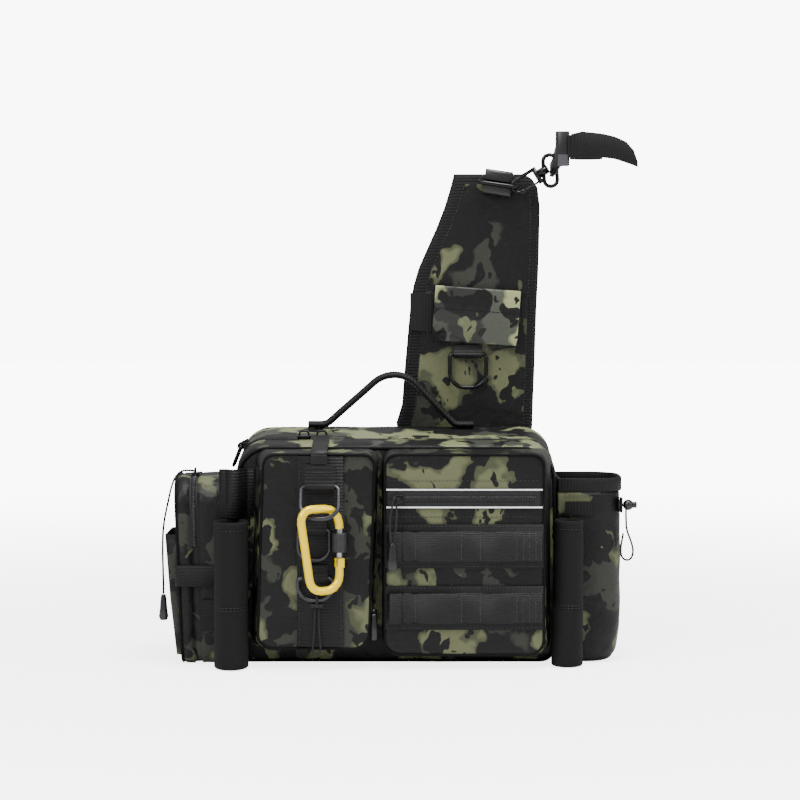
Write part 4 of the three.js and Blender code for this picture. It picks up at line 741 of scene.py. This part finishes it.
# Place across, how far the outline is drawn in, and its share of the outer face's slant.
pouch_rows = (
    (-153.4, 5, 0), (-154.6, 2, 0), (-158.3, 0, 0), (-170, 0, 0.24), (-182, 0, 0.5), (-187, 0, 0.6),
    (-187.4, 1.2, 0.61), (-195.2, 1.2, 0.77), (-195.6, 0, 0.78), (-204.3, 0, 1), (-207.2, 1.0, 1),
    (-208.6, 2.6, 1), (-209.2, 5, 1),
)
rings = []
for x, tuck, lean in pouch_rows:
    outline = soft_outline(
        pouch_near + tuck, pouch_back - tuck, tuck, pouch_tall - tuck, foot_bend, top_bend, 0, 220,
    )
    rings.append([(x + lean * pouch_slant * (pouch_tall - v) / pouch_tall, u, v) for u, v in outline])
pouch = rounded_stack("pouch_body", rings, (pouch_cloth,), 0, 12, 31, 0.4)
put(pouch, "camo_cloth", "side_pouch")
outline = soft_outline(pouch_near + 1.5, pouch_back - 1.5, 1.5, pouch_tall - 1.5, foot_bend, top_bend, 0, 220)
line = [(-208.3 + pouch_slant * (pouch_tall - v) / pouch_tall, u, v) for u, v in outline]
pipe("pouch_piping", line, 1.4)
pouch_zip_x, pouch_zip_foot = -191.3, 112
outline = soft_outline(pouch_near, pouch_back, 0, pouch_tall, foot_bend, top_bend, 0, 600)
over = np.array([(u, v) for u, v in outline if v > pouch_zip_foot])
over = over[np.argsort(np.arctan2(over[:, 1] - 100, over[:, 0] + 8.5))[::-1]]
zip_x = pouch_zip_x + 0.7 * pouch_slant * (pouch_tall - over[:, 1]) / pouch_tall
path = np.stack([zip_x, over[:, 0], over[:, 1]], 1)
facing = facing_out(path, [1, 0, 0], [pouch_zip_x, -8.5, 100])
pouch_tape = strip("pouch_zip_tape", path, facing, [1, 0, 0], tape_wide, tape, tape_sunk, tape_thick)
put(pouch_tape, "zip_tape", "pouch_zipper")
run = run_along(path)
even = np.arange(0, run[-1], 1.6)
bar_half, bar_thick, bar_high = 2.1, 0.5, 0.6
points, bar_faces = [], []
for m, o in zip(at_run(path, run, even), at_run(facing, run, even)):
    w = np.cross(o, [1, 0, 0])
    bar_faces += shifted(skin(2, 6), len(points))
    for end in (-bar_half, bar_half):
        middle = m + np.array([end, 0, 0])
        for a in np.arange(6) * math.pi / 3:
            points.append(middle + w * bar_thick * math.cos(a) + o * bar_high * math.sin(a))
put(mesh_of("pouch_zip_coil", points, bar_faces, nylon), "zip_tape")
dress("tool_pocket", camo("printed_cloth_slip_pocket", (0.6, 0.25, 0.86), bright=0.9), 0.0008)
web_hoop = woven("webbing_hoops", "#08080a", 0.62, "Z")
for name in ("pouch_band", "tool_keeper", "side_ring_tab", "drawcord_tab", "strap_ring_tab", "sling_webbing"):
    dress(name, web_hoop)
band("pouch_patch", [(-184, -62.4, 47), (-172, -62.6, 47), (-159, -62.4, 47)], 29, web_hoop, 0.1, 1.4)
# The side ring hangs on a slanted tab: it is turned to face the side, tilted, and moved to the tab's end.
side_wire = 3.2
path = turned(ring_path(26, 24, side_wire), 0, -90)
side_ring = tube("side_ring_wire", path, side_wire / 2, black_steel, closed=True, sides=18)
put(side_ring, "dark_metal")
slant, tilt = math.radians(35), math.radians(22)
tab_x, tab_y, tab_drop, tab_long, ring_back = -123, -2, 27, 27.8, 3.7
tab_z = bag_top(tab_y) - tab_drop
seat = np.array([tab_x - tab_long * math.cos(slant), tab_y, tab_z + tab_long * math.sin(slant)])
hang = seat + np.array([-ring_back * math.cos(slant), 0, ring_back * math.sin(slant)])
spin = np.array([[math.cos(tilt), 0, math.sin(tilt)], [0, 1, 0], [-math.sin(tilt), 0, math.cos(tilt)]])
write_points(side_ring, (read_points(side_ring) * 1000 @ spin.T + hang) / 1000)
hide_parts("side_ring")

# Rod sleeves: oval tubes of black foam-backed cloth, open at the top, hemmed by a double seam.
# Each is a stack of ovals, up its outside and down its inside. The right one's foot widens towards the bag.
# Foam-backed cloth: very dull, with a fine pebble.
sleeve_cloth, tree, shader = blank("foam_backed_cloth", "#0a0a0a", 0.85)
place = node(tree, "TexCoord")["Object"]
pebble = noise(tree, place, 700.0)["Fac"]
tree.links.new(bump(tree, pebble, 0.35, 0.0006), shader.inputs["Normal"])
shader.inputs["Specular IOR Level"].default_value = 0.25
sides = 96
turns = np.arange(sides) * 2 * math.pi / sides
round_about = np.stack([np.cos(turns), np.sin(turns)], 1)
flare_top, flare_run = 62, 14
# Height, and how far the oval is drawn in there.
sleeve_rows = [(0.3, 2.5), (0.8, 1.0), (2, 0)] + [(z, 0) for z in np.linspace(6, 132, 40)]
sleeve_rows += [(135, -0.3), (137.2, 0), (138, 0.8), (137.6, 1.7)] + [(z, 2.2) for z in (135, 100, 60, 20, 4)]
for name, cx, cy, wide_x, deep_y, flare in (
    ("rod_sleeve_right", 162.5, -69.3, 27, 33, 3), ("rod_sleeve_left", -153.9, -83.3, 32, 42, 0),
):
    rows = []
    for z, inner in sleeve_rows:
        grow = flare * min(1, max(0, (flare_top - z) / flare_run))
        half_x, half_y, lean = wide_x / 2 + grow / 2 - inner, deep_y / 2 - inner, grow / 2
        rows.append([(cx + half_x * math.cos(a) - lean, cy + half_y * math.sin(a), z) for a in turns])
    points = np.vstack(rows)
    points[:, :2] += wrinkle(points, 0.35, 41)[:, None] * np.tile(round_about, (len(rows), 1))
    sleeve = mesh_of(name + "_cloth", points, skin(len(rows), sides), sleeve_cloth)
    put(sleeve, "sleeve_cloth", name)
    half_x, half_y = wide_x / 2 + 0.25, deep_y / 2 + 0.25
    for i, z in enumerate((56, 58.5, 130)):
        arc = np.linspace(math.pi * 1.02, math.pi * 1.98, 60)
        sew("%s_seam_%d" % (name, i), [(cx + half_x * math.cos(a), cy + half_y * math.sin(a), z) for a in arc])

# Bottle pocket: an open pouch of the printed cloth with a rounded outer side, a binding on its rim and a drawcord
# with a moulded lock at its front corner. A black lining inside rises to its rim.
bottle_cloth = camo("printed_cloth_bottle_pocket", (0.77, 0.13, 0.58))
wall_x, bottle_tall = 153.3, 162
bottle_sides = 150


def bottle_outline(out, tuck, inset):
    """The pocket's section: straight along the bag's wall, with two round outer corners. out scales its reach,
    tuck draws in its front and back, and inset all of it."""
    reach, near, far = 62 * out, -52.5 + tuck + inset, 35.5 - tuck - inset
    bend = 28 * out - inset
    path = [(wall_x + inset, near)]
    corner_x = wall_x + reach - inset - bend
    for y, first in ((near + bend, -90), (far - bend, 0)):
        turn = np.radians(first + np.linspace(0, 90, 16))
        path += list(zip(corner_x + bend * np.cos(turn), y + bend * np.sin(turn)))
    path += [(wall_x + inset, far), (wall_x + inset, near)]
    return np.stack(even_steps(np.array(path), bottle_sides), 1)


rises = [0, 0.06, 0.2, 0.6, 1]
# Share of the height, and how far the outline is drawn in there: up the outside, then down the lining.
outer_rows = [(0.0, 3), (0.006, 1), (0.015, 0)] + [(s, 0) for s in np.linspace(0.03, 1, 44)]
lining_rows = [(1.0, 2.6), (1.04, 2.8)] + [(s, 3.6) for s in (1.04, 0.99, 0.7, 0.4, 0.1, 0.02)]
rows = []
for share, inset in outer_rows + lining_rows:
    out = np.interp(share, rises, [0.82, 0.92, 0.985, 1, 0.97])
    tuck = np.interp(share, rises, [6, 1, 0, 0, 0])
    rows.append([(x, y, bottle_tall * share) for x, y in bottle_outline(out, tuck, inset)])
points = np.vstack(rows)
away = points - np.array([175, -8, 0])
away[:, 2] = 0
away /= np.linalg.norm(away, axis=1)[:, None]
points += away * (wrinkle(points, 0.5, 57) * np.clip((points[:, 0] - 156) / 10, 0, 1))[:, None]
pocket_faces = skin(len(rows), bottle_sides)
# Lining cloth: dull, so that the open mouth reads as dark.
lining, _, _ = blank("black_lining", "#0b0b0c", 0.75)
bottle = mesh_of("bottle_pocket_cloth", points, pocket_faces, bottle_cloth, lining)
put(bottle, "camo_cloth", "bottle_pocket")
first_lined = (len(outer_rows) - 1) * bottle_sides
bottle.data.polygons.foreach_set("material_index", [int(i >= first_lined) for i in range(len(pocket_faces))])
dress("bottle_rim", web_across, 0.0008)
# Moulded plastic: smooth, with broad highlights.
moulded, _, _ = blank("moulded_plastic", "#0c0c0d", 0.35)
for name in ("cord_lock", "cord_lock_button"):
    dress(name, moulded, 0.0003)
band("bottle_strap", [(160, -53.6, 147), (176, -53.6, 147), (186, -53.2, 147)], 13, web_across, 0.0, 1.4)
for i, z in enumerate((159.5, 157.5)):
    sew("bottle_hem_%d" % i, [(158, -53.0, z), (185, -53.0, z)])

# Carry handle: a doubled black webbing rolled into a grip and sewn flat to the top behind the zip.
# It is a flattened tube along a bent path, with a short bartack on each foot.
handle_y, handle_foot = 38.5, 221.4
grip = rounded(
    [(-86, handle_foot, 0), (-68, handle_foot, 12), (0, 281.4, 30), (58, handle_foot, 10), (76, handle_foot, 0)], 5,
)
grip = np.vstack([np.linspace(a, b, 8, endpoint=False) for a, b in zip(grip[:-1], grip[1:])] + [grip[-1:]])
path = np.stack([grip[:, 0], np.full(len(grip), handle_y), grip[:, 1]], 1)
put(tube("carry_handle_web", path, 3.4, web_across, sides=20, flat=1.9), "webbing", "carry_handle")
for x0, x1 in ((-84, -70), (62, 74)):
    sew("handle_bartack_%d" % x1, [(x0, 32.4, 221.6), (x1, 32.4, 221.6)], 1.4, 0.4, 0.8)
dress("main_pull_tab", woven("webbing_pull", "#0b0b0c", 0.5, "Z"), 0.0004)

# Left pocket pull: a small moulded grip on the slider of the left pocket's side zip, between the pockets.
# Both are short flattened rods; the grip hangs a little away from the cloth.
slider = tube("left_pocket_slider", [(-20.8, -87, 55.5), (-20.8, -87, 46)], 3.4, enamel, sides=12, flat=0.6)
put(slider, "zip_metal")
pull = [(-20.4 + 0.05 * i, -89.5 - 0.3 * min(i, 6), 51.5 - 2.2 * i) for i in range(12)]
put(tube("left_pocket_pull", pull, 2.9, rubber, sides=16, flat=0.6), "pull_rubber")

# Shoulder strap: two printed cloth panels over foam, bound on both edges with black tape. The panels are held at
# the binding and puffed out by a short cloth simulation.
# The print thins out with height, and the binding is the dullest black on the bag.
strap_cloth = camo(
    "printed_cloth_strap", (0.12, 0.8, 0.05), olive=0.565, rough=0.48, sparse=(0.32, 0.38, 0.07),
)
binding = woven("binding_tape", "#050506", 0.75, "Z")
strap_x, strap_wide, strap_y, strap_foot, strap_tall = 6, 129, 58.3, 200, 267
# Each edge's place as a share of the strap's width, and its fullness, at shares of its height.
ups = [0, 0.08, 0.15, 0.27, 0.42, 0.53, 0.59, 0.65, 0.72, 0.8, 0.88, 0.95, 0.985, 1]
lefts = [0, -0.045, 0, 0.018, 0.046, 0.066, 0.088, 0.124, 0.187, 0.262, 0.326, 0.37, 0.388, 0.396]
rights = [0.99, 1, 1.004, 1.014, 1.023, 1.031, 1.038, 1.043, 1.047, 1.05, 1.052, 1.035, 0.99, 0.93]
fulls = [1, 1, 1, 1, 1, 1, 1, 1, 1, 1, 1, 0.9, 0.75, 0.5]
half_thick, most_thick, edge_run = 5.5, 5.3, 9
across, rows_up = 56, 110


def strap_edge(up, table):
    """The place across of one edge of the strap at a share of its height."""
    return strap_x + strap_wide * np.interp(up, ups, table)


strap_rows, held = [], []
for up in np.linspace(0, 1, rows_up):
    low, high = strap_edge(up, lefts), strap_edge(up, rights)
    thick = half_thick * np.interp(up, ups, fulls) * (0.35 if up < 0.004 else 1)
    x = low + (high - low) * np.linspace(0, 1, across)
    edge = np.minimum(x - low, high - x)
    crown = np.sqrt(np.clip(1 - (1 - np.clip(edge / edge_run, 0, 1)) ** 2, 0, 1))
    half = np.minimum(thick * (0.35 + 0.65 * crown), most_thick)
    z = strap_foot + strap_tall * up
    face = [(a, strap_y - h, z) for a, h in zip(x, half)]
    strap_rows.append(face + [(a, strap_y + h, z) for a, h in zip(x[::-1], half[::-1])])
    near = np.concatenate([edge, edge[::-1]])
    sewn = np.clip(1.15 - np.clip(near - 11, 0, 30) / 12, 0, 1)
    held.append(sewn if 0.02 < up < 0.97 else np.ones(2 * across))
count = 2 * across
points = np.vstack(strap_rows)
strap = mesh_of("strap_panel", points, skin(rows_up, count), strap_cloth, binding)
left_bound, right_bound, top_bound = 13.5, 9.5, 6
picks = []
for i in range(rows_up - 1):
    low, high = points[i * count][0], points[i * count + across - 1][0]
    for j in range(count):
        a, b = points[i * count + j][0], points[i * count + (j + 1) % count][0]
        middle = (a + b) / 2
        picks.append(int(middle - low < left_bound or high - middle < right_bound or i > rows_up - top_bound))
strap.data.polygons.foreach_set("material_index", picks + [1, 1])


def puff(obj, weights, pressure, frames=16, stiff=18):
    """Blows a panel out between its sewn edges with the cloth solver, and keeps the last frame's shape."""
    group = obj.vertex_groups.new(name="sewn")
    for i, weight in enumerate(weights):
        group.add([i], float(weight), "REPLACE")
    cloth = obj.modifiers.new("cloth", "CLOTH")
    settings = cloth.settings
    settings.quality = 4
    settings.mass = 0.15
    settings.tension_stiffness = settings.compression_stiffness = settings.shear_stiffness = stiff
    settings.bending_stiffness = 0.4
    settings.use_pressure = True
    settings.uniform_pressure_force = pressure
    settings.vertex_group_mass = "sewn"
    settings.effector_weights.gravity = 0.1
    cloth.point_cache.frame_start, cloth.point_cache.frame_end = 1, frames
    for at in range(1, frames + 1):
        scene.frame_set(at)
    shape = obj.evaluated_get(bpy.context.evaluated_depsgraph_get()).to_mesh()
    coords = np.zeros(len(shape.vertices) * 3)
    shape.vertices.foreach_get("co", coords)
    obj.modifiers.remove(cloth)
    write_points(obj, coords)
    scene.frame_set(1)


puff(strap, np.concatenate(held), 1.2)
coords = read_points(strap) * 1000
coords[:, 1] = np.clip(coords[:, 1] + wrinkle(coords, 0.3, 71), 52.9, 64.0)
write_points(strap, coords / 1000)
put(strap, "strap_cloth", "shoulder_strap")
for side, table, inset, turn in (
    ("left", lefts, 13.2, 1), ("left_outer", lefts, 3.2, 1),
    ("right", rights, 9.2, -1), ("right_outer", rights, 2.6, -1),
):
    thick = most_thick * (0.35 + 0.65 * math.sqrt(1 - (1 - min(inset / edge_run, 1)) ** 2))
    line = [
        (strap_edge(up, table) + turn * inset, strap_y - thick - 0.35, strap_foot + strap_tall * up)
        for up in np.linspace(0.03, 0.955, 60)
    ]
    sew("strap_seam_" + side, line)

# Flap pocket on the strap: a slim pocket of printed cloth under a raw-edged flap, with a black band behind it.
# The flap's cloth shines more, and its print and its ground are drawn lighter than the rest, a painted sheen.
flap_cloth_painted_sheen = camo(
    "printed_cloth_flap_painted_sheen", (0.44, 0.31, 0.93), olive=0.53, bright=2.4, rough=0.3, ground="#2a2b28",
)
dress("strap_pocket", strap_cloth, 0.0006)
dress("strap_flap", flap_cloth_painted_sheen, 0.0005)
flap_x, flap_y, flap_z, flap_lean = 79, 43.3, 328, math.radians(4)


def on_flap(u, w):
    """A point on the flap's face: u across and w up, in the flap's own leaning directions."""
    c, s = math.cos(flap_lean), math.sin(flap_lean)
    return (flap_x + u * c + w * s, flap_y, flap_z - u * s + w * c)


sew("flap_seam", [on_flap(-40, 4.5), on_flap(40, 4.5)], 3.2, 0.7, 0.9, material=binding)
band("flap_band_left", [(14, 52.9, 332), (26, 52.6, 331), (36.6, 52.6, 330.4)], 37, web_across, 0.0, 1.3)
band("flap_band_right", [(119.4, 52.6, 336), (126, 52.6, 335.6), (130, 52.9, 335.4)], 20, web_across, 0.0, 1.3)
dress("strap_ring_tab", woven("binding_loop", "#161617", 0.5, "Z"), 0.0005)
path = turned(ring_path(40, 37, 4), seat=(71, 52.5 - 4.1, 290))
put(tube("strap_ring_wire", path, 2.0, black_steel, closed=True, sides=18), "dark_metal", "strap_ring")

# Strap top: folded webbing with a flat ring, a black snap hook on it, and the webbing strap that holds the rod.
# The strap closes on itself with a patch of hook and loop tape; a short turn of webbing covers its fold.
# Coated webbing: smoother, with a broad sheen along each fold.
sheen_web, _, _ = blank("coated_webbing", "#0a0a0b", 0.4)
dress("strap_top_tab", sheen_web, 0.001)
for name in ("top_ring", "snap_hook", "hook_eye"):
    dress(name, black_steel, 0.0, 0.0005)
dress("hook_gate", black_steel, 0.0003)
dress("rod_strap_tab", sheen_web, 0.0006)
dress("rod_strap", web_across, 0.0005)
turn_path = [(165.4, 5.9, 491.4), (168.4, 5.3, 491.4), (171.4, 4.4, 491.4)]
band("rod_strap_turn", turn_path, 21.5, web_across, 0.0, 1.2)
# Hook and loop tape: a dull pile, lighter than the webbing.
hooks, _, _ = blank("hook_and_loop", "#3c3d40", 0.9)
band("hook_and_loop_patch", [(156, 6.0, 478), (161, 5.9, 478), (166, 6.0, 478)], 11, hooks, 0.1, 0.6)

# Back: a padded panel of black spacer mesh, with the sling webbing down its middle right. Inferred and plain.
# The panel is a lofted stack of its outline, drawn in towards its face.
# Spacer mesh: its open cells read as small dark pits.
mesh_cloth, tree, shader = blank("spacer_mesh", "#0a0a0b", 0.9)
place = node(tree, "TexCoord")["Object"]
holes = node(tree, "TexVoronoi", {"Vector": place, "Scale": 330.0})["Distance"]
tree.links.new(bump(tree, holes, 0.8, 0.001), shader.inputs["Normal"])
rings = []
for y, t in ((52.9, 0), (55, 0), (58, 0.4), (59.6, 1.4), (60.4, 3)):
    rings.append([(u, y, v) for u, v in soft_outline(-134 + t, 134 - t, 22 + t, 192 - t, 27, 27, 0, 220)])
pad = put(rounded_stack("back_panel", rings, (mesh_cloth,), 0.5, 22, 91, 0.3), "pad_mesh", "back_pad")
